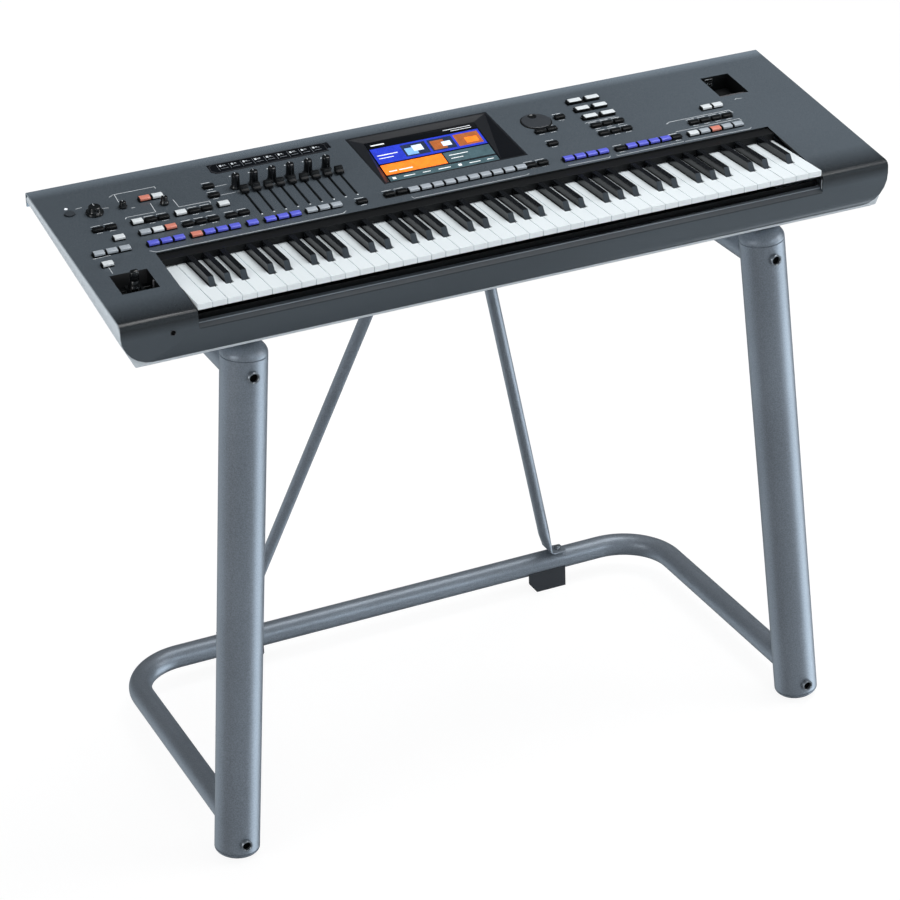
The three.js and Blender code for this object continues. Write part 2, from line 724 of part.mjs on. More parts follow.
// Screen: deep bezel whose hollow narrows to a display that tips towards the player.
const displayRearSet = screenDepth - displayRearMargin;
const bezelRing = (x, front, rear, lowFront, lowRear) => [
  [-x, front, lowFront], [x, front, lowFront], [x, rear, lowRear], [-x, rear, lowRear],
];
const hollowHalf = screenWidth / 2 - bezelRim;
const bezelHollow = block(
  bezelRing(displayWidth / 2, displayFrontSet, displayRearSet, -displayFrontDrop, -displayRearDrop),
  bezelRing(hollowHalf, bezelRim, screenDepth - bezelRim, 0, 0));
const hollowTop = box(-hollowHalf, hollowHalf, bezelRim, screenDepth - bezelRim, -seatGap, overrun);
const glassPocket = block(
  bezelRing(displayWidth / 2, displayFrontSet, displayRearSet,
    -displayFrontDrop - glassThickness - seatGap, -displayRearDrop - glassThickness - seatGap),
  bezelRing(displayWidth / 2, displayFrontSet, displayRearSet,
    -displayFrontDrop + seatGap, -displayRearDrop + seatGap));
const bezelBlock = box(-screenWidth / 2, screenWidth / 2, 0, screenDepth, -bezelThickness, 0);
const bezel = cut(solid(bezelBlock), [solid(bezelHollow), solid(hollowTop), solid(glassPocket)]);
const screenPlaceMatrix = new THREE.Matrix4().makeTranslation(0, screenPlace, 0);
addPiece('screen_bezel', onPanel(shell(bezel).applyMatrix4(screenPlaceMatrix)), ...finishes.black);
const glassHalf = displayWidth / 2 - seatGap;
const glass = block(
  bezelRing(glassHalf, displayFrontSet + seatGap, displayRearSet - seatGap,
    -displayFrontDrop - glassThickness, -displayRearDrop - glassThickness),
  bezelRing(glassHalf, displayFrontSet + seatGap, displayRearSet - seatGap,
    -displayFrontDrop, -displayRearDrop));
addPiece('screen_glass', onPanel(glass.applyMatrix4(screenPlaceMatrix)), ...finishes.glass);

const stripPlace = stripDepthShare * panelDepth;
addPiece('strip_display', onPanel(box(
  stripX - stripWidth / 2, stripX + stripWidth / 2, stripPlace - stripDepth / 2, stripPlace + stripDepth / 2,
  -stripThickness, -seatGap)), ...finishes.glass);

// Turned knobs, each with a stub in its hole.
function knob(name, xShare, depthShare, profile, sides) {
  const stub = [[0, -panelThickness], [stubDiameter / 2, -panelThickness], [stubDiameter / 2, seatGap]];
  const body = turned([...stub, ...profile], sides);
  const placed = onPanel(body.translate(xShare * halfCase, depthShare * panelDepth, 0));
  return addPiece(name, placed, ...finishes.black);
}
const plainKnob = (diameter, topDiameter, height, skirt) => [
  [diameter / 2, seatGap], [diameter / 2, skirt], [topDiameter / 2, height], [0, height],
];
knobXShares.forEach((xShare, i) => {
  const profile = plainKnob(knobBaseDiameter, knobTopDiameter, knobHeight, knobSkirtHeight);
  knob(`live_knob_${i + 1}`, xShare, knobDepthShare, profile, smallSides);
});
const masterSkirt = masterHeight * skirtShare;
knob('master_volume_knob', masterXShare, masterDepthShare, [
  [masterDiameter / 2, seatGap], [masterDiameter / 2, masterSkirt], [masterTopDiameter / 2, masterSkirt],
  [masterTopDiameter / 2, masterHeight], [0, masterHeight],
], roundSides);
knob('mic_gain_knob', micXShare, micDepthShare,
  plainKnob(micDiameter, micTopDiameter, micHeight, micHeight * skirtShare), smallSides);
knob('balance_knob', balanceXShare, balanceDepthShare,
  plainKnob(balanceDiameter, balanceTopDiameter, balanceHeight, balanceHeight * skirtShare), smallSides);

// Data dial with a finger dish.
const dish = new THREE.SphereGeometry(dialDishDiameter / 2, smallSides, smallSides / 2);
dish.scale(1, 1, (2 * dialDishDepth) / dialDishDiameter);
dish.translate(0, (dialDishShare * dialDiameter) / 2, dialHeight);
const dialProfile = [
  [0, -panelThickness], [stubDiameter / 2, -panelThickness], [stubDiameter / 2, seatGap],
  [dialDiameter / 2, seatGap], [dialDiameter / 2, dialHeight - seatGap],
  [dialDiameter / 2 - seatGap, dialHeight], [0, dialHeight],
];
const dial = solid(turned(dialProfile, roundSides)).subtract(solid(dish));
addPiece('data_dial', onPanel(shell(dial).translate(dialXShare * halfCase, dialDepthShare * panelDepth, 0)),
  ...finishes.black);

// Faders: stepped cap on a flat stem through its slot, with a shoe below the plate.
const shoeTop = -panelThickness - seatGap;
for (let i = 0; i < faderCount; i += 1) {
  const x = faderX(i);
  const [front, rear] = [faderPlace - faderCapLength / 2, faderPlace + faderCapLength / 2];
  const step = front + faderStepShare * faderCapLength;
  const capProfile = [
    [front, faderLift], [rear, faderLift], [rear, faderLift + faderCapHeight],
    [step, faderLift + faderCapHeight], [step, faderLift + faderStepHeight],
    [front, faderLift + faderStepHeight],
  ];
  const cap = slabAlongX(capProfile, x - faderCapWidth / 2, x + faderCapWidth / 2);
  const [stemFront, stemRear] = [faderPlace - stemLength / 2, faderPlace + stemLength / 2];
  const stem = box(x - stemThickness / 2, x + stemThickness / 2, stemFront, stemRear,
    shoeTop - faderShoeThickness / 2, faderLift + faderStepHeight / 2);
  const shoe = box(x - faderShoeWidth / 2, x + faderShoeWidth / 2, stemFront, stemRear,
    shoeTop - faderShoeThickness, shoeTop);
  addPiece(`fader_${i + 1}`, onPanel(shell(join([solid(cap), solid(stem), solid(shoe)]))), ...finishes.black);
}

// Push buttons: each bank is one moulding whose keys rise through the panel's holes.
const carrierTop = -panelThickness - carrierDrop;
const tower = (xShare, depthShare, width, length) => {
  const x = xShare * halfCase;
  const place = depthShare * panelDepth;
  return solid(box(x - width / 2, x + width / 2, place - length / 2, place + length / 2,
    carrierTop - carrierThickness / 2, buttonRise));
};
const carrier = ([leftShare, rightShare, frontShare, rearShare]) => solid(box(
  leftShare * halfCase - carrierMargin, rightShare * halfCase + carrierMargin,
  frontShare * panelDepth - carrierMargin, rearShare * panelDepth + carrierMargin,
  carrierTop - carrierThickness, carrierTop));

function bank(name, rows, plates, extras) {
  const body = join([...eachButton(rows, tower), ...plates.map(carrier), ...extras]);
  addPiece(name, onPanel(shell(body)), ...finishes.button);
}
bank('left_row_buttons', leftRowShares, leftRowPlateShares, []);
bank('left_upper_buttons', leftUpperShares, leftUpperPlateShares, []);
bank('screen_row_buttons', screenRowShares, screenRowPlateShares, []);
bank('right_row_buttons', rightRowShares, rightRowPlateShares, []);
bank('right_upper_buttons', rightUpperShares, rightUpperPlateShares, voiceKeys(tower));

// Joystick in a gimbal that tips on pins between the pocket's side walls.
const joyX = joyWellXShare * halfCase;
const joyPlace = joyWellDepthShare * panelDepth;
const joyPlaceMatrix = new THREE.Matrix4().makeTranslation(joyX, joyPlace, -gimbalDrop);
const pinRadius = trunnionDiameter / 2;
const pinReach = joyWellWidth / 2 - seatGap;
const squareSlab = (width, thickness) => solid(box(
  -width / 2, width / 2, -width / 2, width / 2, -thickness / 2, thickness / 2));
const gimbalRing = cut(
  squareSlab(gimbalSize, gimbalThickness), [squareSlab(gimbalHole, 2 * gimbalThickness)]);
const sidePins = [-1, 1].map((side) => solid(rod(
  [side * (gimbalSize / 2 - pinRadius), 0, 0], [side * pinReach, 0, 0], pinRadius, smallSides / 2)));
addPiece('joystick_gimbal', onPanel(shell(join([gimbalRing, ...sidePins])).applyMatrix4(joyPlaceMatrix)),
  ...finishes.black);
const stickTop = gimbalDrop + stickRise;
const stickBall = new THREE.SphereGeometry(stickBallDiameter / 2, smallSides / 2, smallSides / 2);
const stick = join([
  solid(stickBall),
  solid(rod([0, -gimbalHole / 2 + seatGap, 0], [0, gimbalHole / 2 - seatGap, 0], pinRadius, smallSides / 2)),
  solid(rod([0, 0, 0], [0, 0, stickTop - stickCapHeight / 2], stickDiameter / 2, smallSides / 2)),
  solid(turned([
    [0, stickTop - stickCapHeight], [stickCapDiameter / 2, stickTop - stickCapHeight],
    [stickCapDiameter / 2 - pinRadius, stickTop - pinRadius], [stickDiameter / 2, stickTop], [0, stickTop],
  ], smallSides)),
]);
addPiece('joystick', onPanel(shell(stick).applyMatrix4(joyPlaceMatrix)), ...finishes.black);

// Stand legs: splayed tubes, closed above and below by domed caps.
const legAt = (side, z) => {
  const share = (legTopZ - z) / (legTopZ - legFootZ);
  return [side * (legTopX + share * (legFootX - legTopX)), legTopY + share * (legFootY - legTopY), z];
};
const plugRadius = legRadius - legWall - seatGap;
const floorBlock = box(-caseWidth, caseWidth, -caseWidth, caseWidth, floorZ - legDiameter, floorZ);

function placedOnLeg(geometry, side, z, up) {
  const axis = new THREE.Vector3(...legAt(side, legTopZ)).sub(new THREE.Vector3(...legAt(side, legFootZ)));
  axis.normalize().multiplyScalar(up);
  const turn = new THREE.Quaternion().setFromUnitVectors(new THREE.Vector3(0, 0, up), axis);
  return geometry.applyQuaternion(turn).translate(...legAt(side, z));
}

const domeProfile = (height) => {
  const crown = arc(0, 0, 1, 0, 90, capRoundSteps).slice(0, capRoundSteps);
  return [
    [0, -capPlugLength], [plugRadius, -capPlugLength], [plugRadius, seatGap],
    ...crown.map(([a, b]) => [a * legRadius, seatGap + b * height]),
    [0, seatGap + height],
  ];
};

for (const [side, name] of [[-1, 'left'], [1, 'right']]) {
  const tube = solid(rod(legAt(side, legTopZ), legAt(side, legFootZ), legRadius, roundSides));
  const bore = solid(rod(legAt(side, legTopZ + overrun), legAt(side, legFootZ - overrun),
    legRadius - legWall, roundSides));
  addPiece(`${name}_leg`, shell(tube.subtract(bore)), ...finishes.stand);

  const topDome = placedOnLeg(turned(domeProfile(topCapHeight), roundSides), side, legTopZ, 1);
  const padTop = caseBottomZ - seatGap;
  const [padX, padY] = legAt(side, padTop);
  const pad = rod([padX, padY, legTopZ], [padX, padY, padTop], padDiameter / 2, smallSides);
  addPiece(`${name}_leg_cap`, shell(solid(topDome).add(solid(pad))), ...finishes.stand);

  const footHeight = legFootZ - floorZ + seatGap;
  const footDome = turned(domeProfile(footHeight), roundSides).rotateX(Math.PI);
  const footCap = solid(placedOnLeg(footDome, side, legFootZ, 1)).subtract(solid(floorBlock.clone()));
  addPiece(`${name}_foot_cap`, shell(footCap), ...finishes.stand);
}

// A bent tube follows its stations: straight runs with one step each and bends with several.
class BentPath extends THREE.Curve {
  constructor(stations) {
    super();
    this.stations = stations;
  }

  station(share) {
    return this.stations[Math.round(share * (this.stations.length - 1))];
  }

  getPoint(share) {
    return this.station(share)[0].clone();
  }

  getPointAt(share) {
    return this.getPoint(share);
  }

  getTangentAt(share) {
    return this.station(share)[1].clone();
  }
}

function bentTube(halfWidth, frontY, rearY, z, radius) {
  const stations = [[new THREE.Vector3(-halfWidth, frontY, z), new THREE.Vector3(0, 1, 0)]];
  const corners = [[-1, 180, 90], [1, 90, 0]];
  for (const [side, start, end] of corners) {
    const centreX = side * (halfWidth - bendRadius);
    const centreY = rearY - bendRadius;
    arc(centreX, centreY, bendRadius, start, end, bendSteps).forEach(([x, y]) => {
      const out = new THREE.Vector3(x - centreX, y - centreY, 0).normalize();
      stations.push([new THREE.Vector3(x, y, z), new THREE.Vector3(out.y, -out.x, 0)]);
    });
  }
  stations.push([new THREE.Vector3(halfWidth, frontY, z), new THREE.Vector3(0, -1, 0)]);
  const section = new THREE.Shape(arc(0, 0, radius, 0, 360, tubeSides).slice(0, tubeSides)
    .map(([a, b]) => new THREE.Vector2(a, b)));
  return new THREE.ExtrudeGeometry(section, {
    steps: stations.length - 1, extrudePath: new BentPath(stations), bevelEnabled: false,
  });
}

const legRoom = [-1, 1].map((side) => solid(rod(
  legAt(side, legTopZ + overrun), legAt(side, legFootZ - overrun), legRadius + seatGap, roundSides)));
const topHalfWidth = legAt(1, topFrameZ)[0];
const baseHalfWidth = legAt(1, baseTubeZ)[0];
const postX = topHalfWidth - postInset;
const rearFootX = baseHalfWidth - rearFootInset;
const braceFootX = rearFootX + braceFootOffset;
const posts = [-1, 1].map((side) => solid(box(
  side * postX - postWidth / 2, side * postX + postWidth / 2, topFrameRearY - postDepth / 2,
  topFrameRearY + postDepth / 2, topFrameZ + tubeRadius / 2, caseBottomZ - seatGap)));
const topTube = (radius) => solid(bentTube(topHalfWidth, legTopY, topFrameRearY, topFrameZ, radius));
const topFrame = cut(join([topTube(tubeRadius), ...posts]), [topTube(tubeRadius - tubeWall), ...legRoom]);
addPiece('top_frame', shell(topFrame), ...finishes.stand);
const baseTube = (radius) => solid(bentTube(baseHalfWidth, legFootY, baseTubeRearY, baseTubeZ, radius));
const baseFrame = cut(baseTube(tubeRadius), [baseTube(tubeRadius - tubeWall), ...legRoom]);
addPiece('base_tube', shell(baseFrame), ...finishes.stand);

// Braces: thin tubes with flattened tabs, one on top of the rear bar and one under the top frame's bar.
const footTabZ = baseTubeZ + tubeRadius + seatGap;
const headTabZ = topFrameZ - tubeRadius - seatGap - braceTabThickness;
const footY = baseTubeRearY - braceFootSetback;
for (const [side, name] of [[-1, 'left'], [1, 'right']]) {
  const footX = side * braceFootX;
  const headX = side * braceHeadX;
  const headTopZ = headTabZ + braceTabThickness;
  const tube = solid(rod(
    [footX, footY, footTabZ], [headX, topFrameRearY, headTopZ], braceDiameter / 2, smallSides));
  const trimLow = solid(box(-caseWidth, caseWidth, 0, caseWidth, floorZ, footTabZ));
  const trimHigh = solid(box(-caseWidth, caseWidth, 0, caseWidth, headTopZ, 0));
  const footTab = solid(box(
    Math.min(footX, footX + side * braceTabLength), Math.max(footX, footX + side * braceTabLength),
    footY - braceTabWidth / 2, footY + braceTabWidth / 2,
    footTabZ, footTabZ + braceTabThickness));
  const headTab = solid(box(
    Math.min(headX, headX - side * braceTabLength), Math.max(headX, headX - side * braceTabLength),
    topFrameRearY - braceTabWidth / 2, topFrameRearY + braceTabWidth / 2, headTabZ, headTopZ));
  const brace = join([cut(tube, [trimLow, trimHigh]), footTab, headTab]);
  addPiece(`${name}_brace`, shell(brace), ...finishes.stand);
}

// Rear feet: rubber blocks saddled under the rear bar, narrower to the back, with the inner bottom corner
// cut off.
const saddle = solid(rod([-caseWidth, baseTubeRearY, baseTubeZ], [caseWidth, baseTubeRearY, baseTubeZ],
  tubeRadius + seatGap, tubeSides * 2));
for (const [side, name] of [[-1, 'left'], [1, 'right']]) {
  const inner = rearFootX - rearFootWidth / 2;
  const outer = rearFootX + rearFootWidth / 2;
  const topZ = baseTubeZ - rearFootRise;
  const outline = [
    [side * inner, topZ], [side * outer, topZ], [side * outer, floorZ],
    [side * (inner + rearFootChamfer), floorZ], [side * inner, floorZ + rearFootChamferHeight],
  ];
  const ordered = side > 0 ? outline.reverse() : outline;
  const [frontY, rearY] = [baseTubeRearY - rearFootDepth / 2, baseTubeRearY + rearFootDepth / 2];
  const [left, right] = [side * rearFootX - rearFootWidth / 2, side * rearFootX + rearFootWidth / 2];
  const plan = solid(slabAlongZ([
    [left, frontY], [right, frontY], [right - rearFootTaper, rearY], [left + rearFootTaper, rearY],
  ], floorZ, topZ));
  const rubber = plan.intersect(solid(slabAlongY(ordered, frontY, rearY)));
  addPiece(`${name}_rear_foot`, shell(rubber.subtract(saddle)), ...finishes.rubber);
}

// The origin goes to the floor, in the middle of the object's outer size.
const size = new THREE.Box3().setFromObject(object);
const middle = size.getCenter(new THREE.Vector3());
object.position.set(-middle.x, -middle.y, -size.min.z);

export default object;
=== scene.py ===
"""Looks of the arranger keyboard on its stand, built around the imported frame. Metres, +Z up."""
import json
from math import cos, pi, radians, sin

import bmesh
import bpy
from mathutils import Matrix, Vector

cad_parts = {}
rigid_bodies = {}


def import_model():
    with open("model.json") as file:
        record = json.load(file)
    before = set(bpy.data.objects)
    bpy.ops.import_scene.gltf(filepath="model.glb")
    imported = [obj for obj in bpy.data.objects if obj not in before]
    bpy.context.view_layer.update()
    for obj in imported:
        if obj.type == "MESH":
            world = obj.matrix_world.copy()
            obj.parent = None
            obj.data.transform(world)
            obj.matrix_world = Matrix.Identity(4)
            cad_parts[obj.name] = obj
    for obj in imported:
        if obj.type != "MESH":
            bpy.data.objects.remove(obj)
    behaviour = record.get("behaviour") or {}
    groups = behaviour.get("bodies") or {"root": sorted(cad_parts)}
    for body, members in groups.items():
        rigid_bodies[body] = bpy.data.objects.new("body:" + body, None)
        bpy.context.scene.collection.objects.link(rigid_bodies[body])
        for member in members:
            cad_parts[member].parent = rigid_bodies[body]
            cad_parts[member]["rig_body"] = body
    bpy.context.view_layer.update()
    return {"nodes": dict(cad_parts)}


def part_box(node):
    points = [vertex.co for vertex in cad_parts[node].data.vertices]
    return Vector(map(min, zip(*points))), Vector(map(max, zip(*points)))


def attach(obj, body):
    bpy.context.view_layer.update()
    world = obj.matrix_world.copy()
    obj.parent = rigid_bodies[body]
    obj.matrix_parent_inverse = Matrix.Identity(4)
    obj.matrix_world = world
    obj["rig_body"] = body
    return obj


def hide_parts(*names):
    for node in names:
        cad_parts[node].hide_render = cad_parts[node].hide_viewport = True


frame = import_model()

# Frames. Panel pieces are drawn in millimetres: x to the right, s back along the slope, h out of it.
MM = 0.001
PANEL_SLOPE = 7.96
RIDGE_BEHIND_KEYS = -3 * MM
RIDGE_BELOW_KEYS = -7.5 * MM
ROOT = "stand_and_case"

key_low, key_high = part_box("fourth_white_keys")
KEYS = Vector((0, key_low.y, key_high.z))
RIDGE = KEYS + Vector((0, RIDGE_BEHIND_KEYS, RIDGE_BELOW_KEYS))
PANEL = Matrix.Translation(RIDGE) @ Matrix.Rotation(radians(PANEL_SLOPE), 4, "X") @ Matrix.Scale(MM, 4)
TO_PANEL = PANEL.inverted()
BESIDE_KEYS = Matrix.Translation(KEYS) @ Matrix.Scale(MM, 4)

# Camera
CAMERA_PLACE = (-1.7349, -3.8993, 2.6348)
CAMERA_AZIMUTH = 23.961
CAMERA_DROP = 27.025
CAMERA_ROLL = -2.152
CAMERA_LENS = 120.36
CAMERA_CLIP = 60

# Mesh code
SHARP_ANGLE = radians(32)
FLAT_ANGLE = radians(0.4)
WELD = 0.00001
FINE_SIDES = 64
SMALL_SIDES = 32
LIFT = 0.06
UP = Vector((0, 0, 1))


def loft(rings, hoop=False):
    """Joins rings that have as many points each into one skin. A hoop joins its last ring to the first."""
    part = bmesh.new()
    rows = [[part.verts.new(point) for point in ring] for ring in rings]
    for near, far in zip(rows, rows[1:] + rows[:hoop]):
        for i, point in enumerate(near):
            j = (i + 1) % len(near)
            part.faces.new((point, near[j], far[j], far[i]))
    if not hoop:
        part.faces.new(rows[0][::-1])
        part.faces.new(rows[-1])
    bmesh.ops.recalc_face_normals(part, faces=part.faces)
    return part


def slab(outline, low, high):
    return loft([[(x, y, low) for x, y in outline], [(x, y, high) for x, y in outline]])


def bar(outline, left, right):
    """A slab along x whose outline is drawn in s and h."""
    return loft([[(left, s, h) for s, h in outline], [(right, s, h) for s, h in outline]])


def rectangle(x0, x1, y0, y1):
    return [(x0, y0), (x1, y0), (x1, y1), (x0, y1)]


def round_edges(part, radius, steps=2):
    edges = [e for e in part.edges if e.calc_face_angle(0) > SHARP_ANGLE]
    bmesh.ops.bevel(part, geom=edges, offset=radius, offset_type="OFFSET", segments=steps,
                    profile=0.5, affect="EDGES", clamp_overlap=True)
    return part


def block(x0, x1, y0, y1, low, high, radius, steps=2):
    return round_edges(slab(rectangle(x0, x1, y0, y1), low, high), radius, steps)


def circle(radius, height, sides):
    turns = [2 * pi * i / sides for i in range(sides)]
    return [(radius * cos(a), radius * sin(a), height) for a in turns]


def turned(profile, sides=FINE_SIDES):
    """A turned piece about z. The profile is radius and height from the bottom up."""
    return loft([circle(r, h, sides) for r, h in profile])


def disc(x, s, radius, low, high, edge):
    profile = [(radius, low), (radius, high - edge), (radius - edge, high)]
    return shift(turned(profile), (x, s, 0))


def tube_ring(outer, inner, low, high, edge=0.3):
    """A flat washer standing on z."""
    profile = [(outer, 0), (outer, low), (outer - edge, high), (inner + edge, high), (inner, low), (inner, 0)]
    return loft([circle(r, h, SMALL_SIDES) for r, h in profile], True)


def shift(part, move):
    bmesh.ops.translate(part, vec=move, verts=part.verts)
    return part


def place(part, matrix):
    bmesh.ops.transform(part, matrix=matrix, verts=part.verts)
    return part


def on_axis(start, end):
    """Turns and moves a piece that stands on z so that it stands on a line."""
    turn = UP.rotation_difference((end - start).normalized())
    return Matrix.Translation(start) @ turn.to_matrix().to_4x4()


def arc(centre_x, centre_y, radius, start, end, steps):
    turns = [radians(start + (end - start) * i / steps) for i in range(steps + 1)]
    return [(centre_x + radius * cos(a), centre_y + radius * sin(a)) for a in turns]


def sweep(path, section, upright=UP):
    """Carries a section along a path. The section gives points along the upright and square to it."""
    rings = []
    for i, point in enumerate(path):
        before, after = path[max(i - 1, 0)], path[min(i + 1, len(path) - 1)]
        along = (after - before).normalized()
        side = upright - along * upright.dot(along)
        side.normalize()
        across = along.cross(side)
        rings.append([point + side * a + across * b for a, b in section(i)])
    return loft(rings)


def flat(outline):
    part = bmesh.new()
    part.faces.new([part.verts.new((x, y, LIFT)) for x, y in outline])
    return part


def mesh_of(name, part, materials=()):
    data = bpy.data.meshes.new(name)
    part.to_mesh(data)
    part.free()
    for material in materials:
        data.materials.append(material)
    return data


def linked(name, data):
    thing = bpy.data.objects.new(name, data)
    bpy.context.scene.collection.objects.link(thing)
    return thing


def add(whole, part, index=0):
    """Moves a part into a larger mesh, with its place in the piece's list of materials."""
    for face in part.faces:
        face.material_index = index
    data = mesh_of("part", part)
    whole.from_mesh(data)
    bpy.data.meshes.remove(data)
    return whole


def piece(name, part, materials, body=ROOT, replaced=()):
    data = mesh_of(name, part, materials)
    data.shade_smooth()
    data.set_sharp_from_angle(angle=SHARP_ANGLE)
    thing = linked(name, data)
    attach(thing, body)
    if replaced:
        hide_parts(*replaced)
    return thing


def body_of(node):
    return frame["nodes"][node]["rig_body"]


def welded(node):
    part = bmesh.new()
    part.from_mesh(frame["nodes"][node].data)
    bmesh.ops.remove_doubles(part, verts=part.verts, dist=WELD)
    return part


def cad_part(node):
    part = welded(node)
    bmesh.ops.dissolve_limit(part, angle_limit=FLAT_ANGLE, verts=part.verts, edges=part.edges)
    return part


def refined(name, node, material, radius, steps=2):
    """The frame's own solid with its edges rounded and its normals evened."""
    thing = piece(name, cad_part(node), [material], body_of(node), [node])
    attribute = thing.data.attributes.get("sharp_edge")
    if attribute:
        thing.data.attributes.remove(attribute)
    edges = thing.modifiers.new("rounded edges", "BEVEL")
    edges.width = radius * MM
    edges.segments = steps
    edges.limit_method = "ANGLE"
    edges.angle_limit = SHARP_ANGLE
    edges.miter_outer = "MITER_ARC"
    evened = thing.modifiers.new("even normals", "WEIGHTED_NORMAL")
    evened.keep_sharp = True
    return thing


def panel_box(node):
    points = [TO_PANEL @ v.co for v in frame["nodes"][node].data.vertices]
    low = Vector([min(p[k] for p in points) for k in range(3)])
    high = Vector([max(p[k] for p in points) for k in range(3)])
    return low, high


def middle_of(low, high):
    return (low.x + high.x) / 2, (low.y + high.y) / 2


# Materials. Roughness and colour drift and speckle with procedural noise.
NOISE_LOW, NOISE_HIGH = 0.35, 0.65


def feed(tree, made, sockets):
    """Gives sockets their constants, or links them to another node's outputs."""
    for key, value in sockets.items():
        if isinstance(value, bpy.types.NodeSocket):
            tree.links.new(value, made.inputs[key])
        else:
            made.inputs[key].default_value = value


def node(tree, kind, *sockets, named=(), **settings):
    made = tree.nodes.new(kind)
    for name, value in settings.items():
        setattr(made, name, value)
    feed(tree, made, {**dict(enumerate(sockets)), **dict(named)})
    return made


def noise(tree, where, scale, detail):
    made = node(tree, "ShaderNodeTexNoise", where, named={"Scale": scale, "Detail": detail})
    return made.outputs["Fac"]


def spread(tree, value, low, high, start=NOISE_LOW, end=NOISE_HIGH):
    return node(tree, "ShaderNodeMapRange", value, start, end, low, high).outputs[0]


def facing(tree, where, direction):
    return node(tree, "ShaderNodeVectorMath", where, direction, operation="DOT_PRODUCT").outputs["Value"]


def blend(tree, factor, first, second):
    first, second = ((*shade, 1) if isinstance(shade, tuple) else shade for shade in (first, second))
    made = node(tree, "ShaderNodeMix", factor, named={6: first, 7: second}, data_type="RGBA")
    return made.outputs[2]


def shaded(colour, share):
    return tuple(min(1, part * (1 + share)) for part in colour)


def finish(name, colour, roughness, cloud=0.07, cloud_scale=9, grain_scale=1600, grain=0.03, bump=0.02,
           wear=0.05, metallic=0.0, coat=0.0, glow=0.0, gloss=0.5, share=None):
    """Colour drifts slowly and speckles finely, and the same grain moves the gloss and the surface."""
    material = bpy.data.materials.new(name)
    material.use_nodes = True
    tree = material.node_tree
    where = node(tree, "ShaderNodeTexCoord").outputs["Object"]
    drift = spread(tree, noise(tree, where, cloud_scale, 3), 0, 1)
    grit = noise(tree, where, grain_scale, 2)
    broad = blend(tree, drift, shaded(colour, -cloud), shaded(colour, cloud))
    dark = blend(tree, drift, shaded(colour, -cloud - grain), shaded(colour, cloud - grain))
    tint = blend(tree, spread(tree, grit, 0, 1), dark, broad)
    # A share function paints light and shade into the colour.
    if share:
        tint = share(tree, where, tint)
    surface = node(tree, "ShaderNodeBump", named={"Strength": bump, "Distance": MM, "Height": grit})
    sockets = {
        "Base Color": tint, "Roughness": spread(tree, grit, roughness - wear, roughness + wear),
        "Normal": surface.outputs["Normal"], "Metallic": metallic, "Coat Weight": coat,
        "Specular IOR Level": gloss,
    }
    if glow:
        sockets.update({"Emission Color": tint, "Emission Strength": glow})
    feed(tree, tree.nodes["Principled BSDF"], sockets)
    return material


# Painted light and shade in the panel's colour, one band to a row. Axis of the panel (0 to the right, 1 back
# along it, 2 out of it), from and to in millimetres, share at each end.
PAINTED_PANEL_LIGHT = [
    (1, 8, 64, 0.20, 0.97),
    (2, -24, -9, 4.0, 1.0),
    (1, 380, 400, 1.0, 2.0),
    (0, 0, 600, 1.0, 1.25),
]


def paint_panel_light(tree, where, tint):
    """Paints light and shade: darker before the front ridge, lifted on its front face, lighter on the rear
    lip and to the right.
    """
    for axis, start, end, low, high in PAINTED_PANEL_LIGHT:
        towards, zero = TO_PANEL.row[axis].xyz, TO_PANEL.row[axis].w
        share = spread(tree, facing(tree, where, towards), low, high, start - zero, end - zero)
        scaled = node(tree, "ShaderNodeVectorMath", tint, named={"Scale": share}, operation="SCALE")
        tint = scaled.outputs[0]
    return tint


# The panel's grey carries painted light and shade in bands over its surface.
panel_grey = finish("panel_grey", (0.077, 0.095, 0.113), 0.26, cloud=0.05, cloud_scale=3, grain=0.1,
                    bump=0.03, share=paint_panel_light)
# Painted highlight: a lighter grey for the panel's side faces, where they catch the light.
panel_side_painted_highlight = finish("panel_side_painted_highlight", (0.22, 0.26, 0.29), 0.4, grain=0.05)
panel_dark = finish("panel_dark", (0.018, 0.020, 0.025), 0.45, grain=0.1, bump=0.05, gloss=0.3)
tray_white = finish("tray_white", (0.62, 0.68, 0.73), 0.38, cloud=0.02, grain=0.02)
key_white = finish("key_white", (0.88, 0.95, 0.985), 0.22, cloud=0.015, grain=0.01, bump=0.004, coat=0.2)
key_black = finish("key_black", (0.005, 0.006, 0.008), 0.26, grain=0.15, gloss=0.16)
# Painted light and shade on the black keys: a darker copy for their sides and a lighter copy for their
# fronts.
key_black_painted_side_shade = finish("key_black_painted_side_shade", (0.004, 0.005, 0.006), 0.2, grain=0.15, bump=0.01)
key_black_painted_front_light = finish("key_black_painted_front_light", (0.035, 0.045, 0.056), 0.35, grain=0.1, gloss=0.4)
trim_black = finish("trim_black", (0.007, 0.008, 0.009), 0.5, grain=0.2, bump=0.06, gloss=0.2)
gloss_black = finish("gloss_black", (0.005, 0.006, 0.007), 0.2, grain=0.1, bump=0.01, coat=0.3, gloss=0.4)
button_black = finish("button_black", (0.004, 0.005, 0.006), 0.4, grain=0.1, gloss=0.18)
button_blue = finish("button_blue", (0.115, 0.135, 0.74), 0.35, cloud=0.05, bump=0.01)
button_salmon = finish("button_salmon", (0.70, 0.235, 0.17), 0.35, cloud=0.04, bump=0.01)
button_white = finish("button_white", (0.72, 0.77, 0.80), 0.32, cloud=0.03, grain=0.02, bump=0.01)
button_silver = finish("button_silver", (0.40, 0.45, 0.50), 0.32, cloud=0.03, grain=0.04, bump=0.01)
power_grey = finish("power_grey", (0.044, 0.053, 0.063), 0.35, grain=0.1, gloss=0.4)
print_white = finish("print_white", (0.72, 0.77, 0.81), 0.6, cloud=0.08, cloud_scale=60)
print_grey = finish("print_grey", (0.24, 0.26, 0.29), 0.6, cloud=0.1, cloud_scale=60)
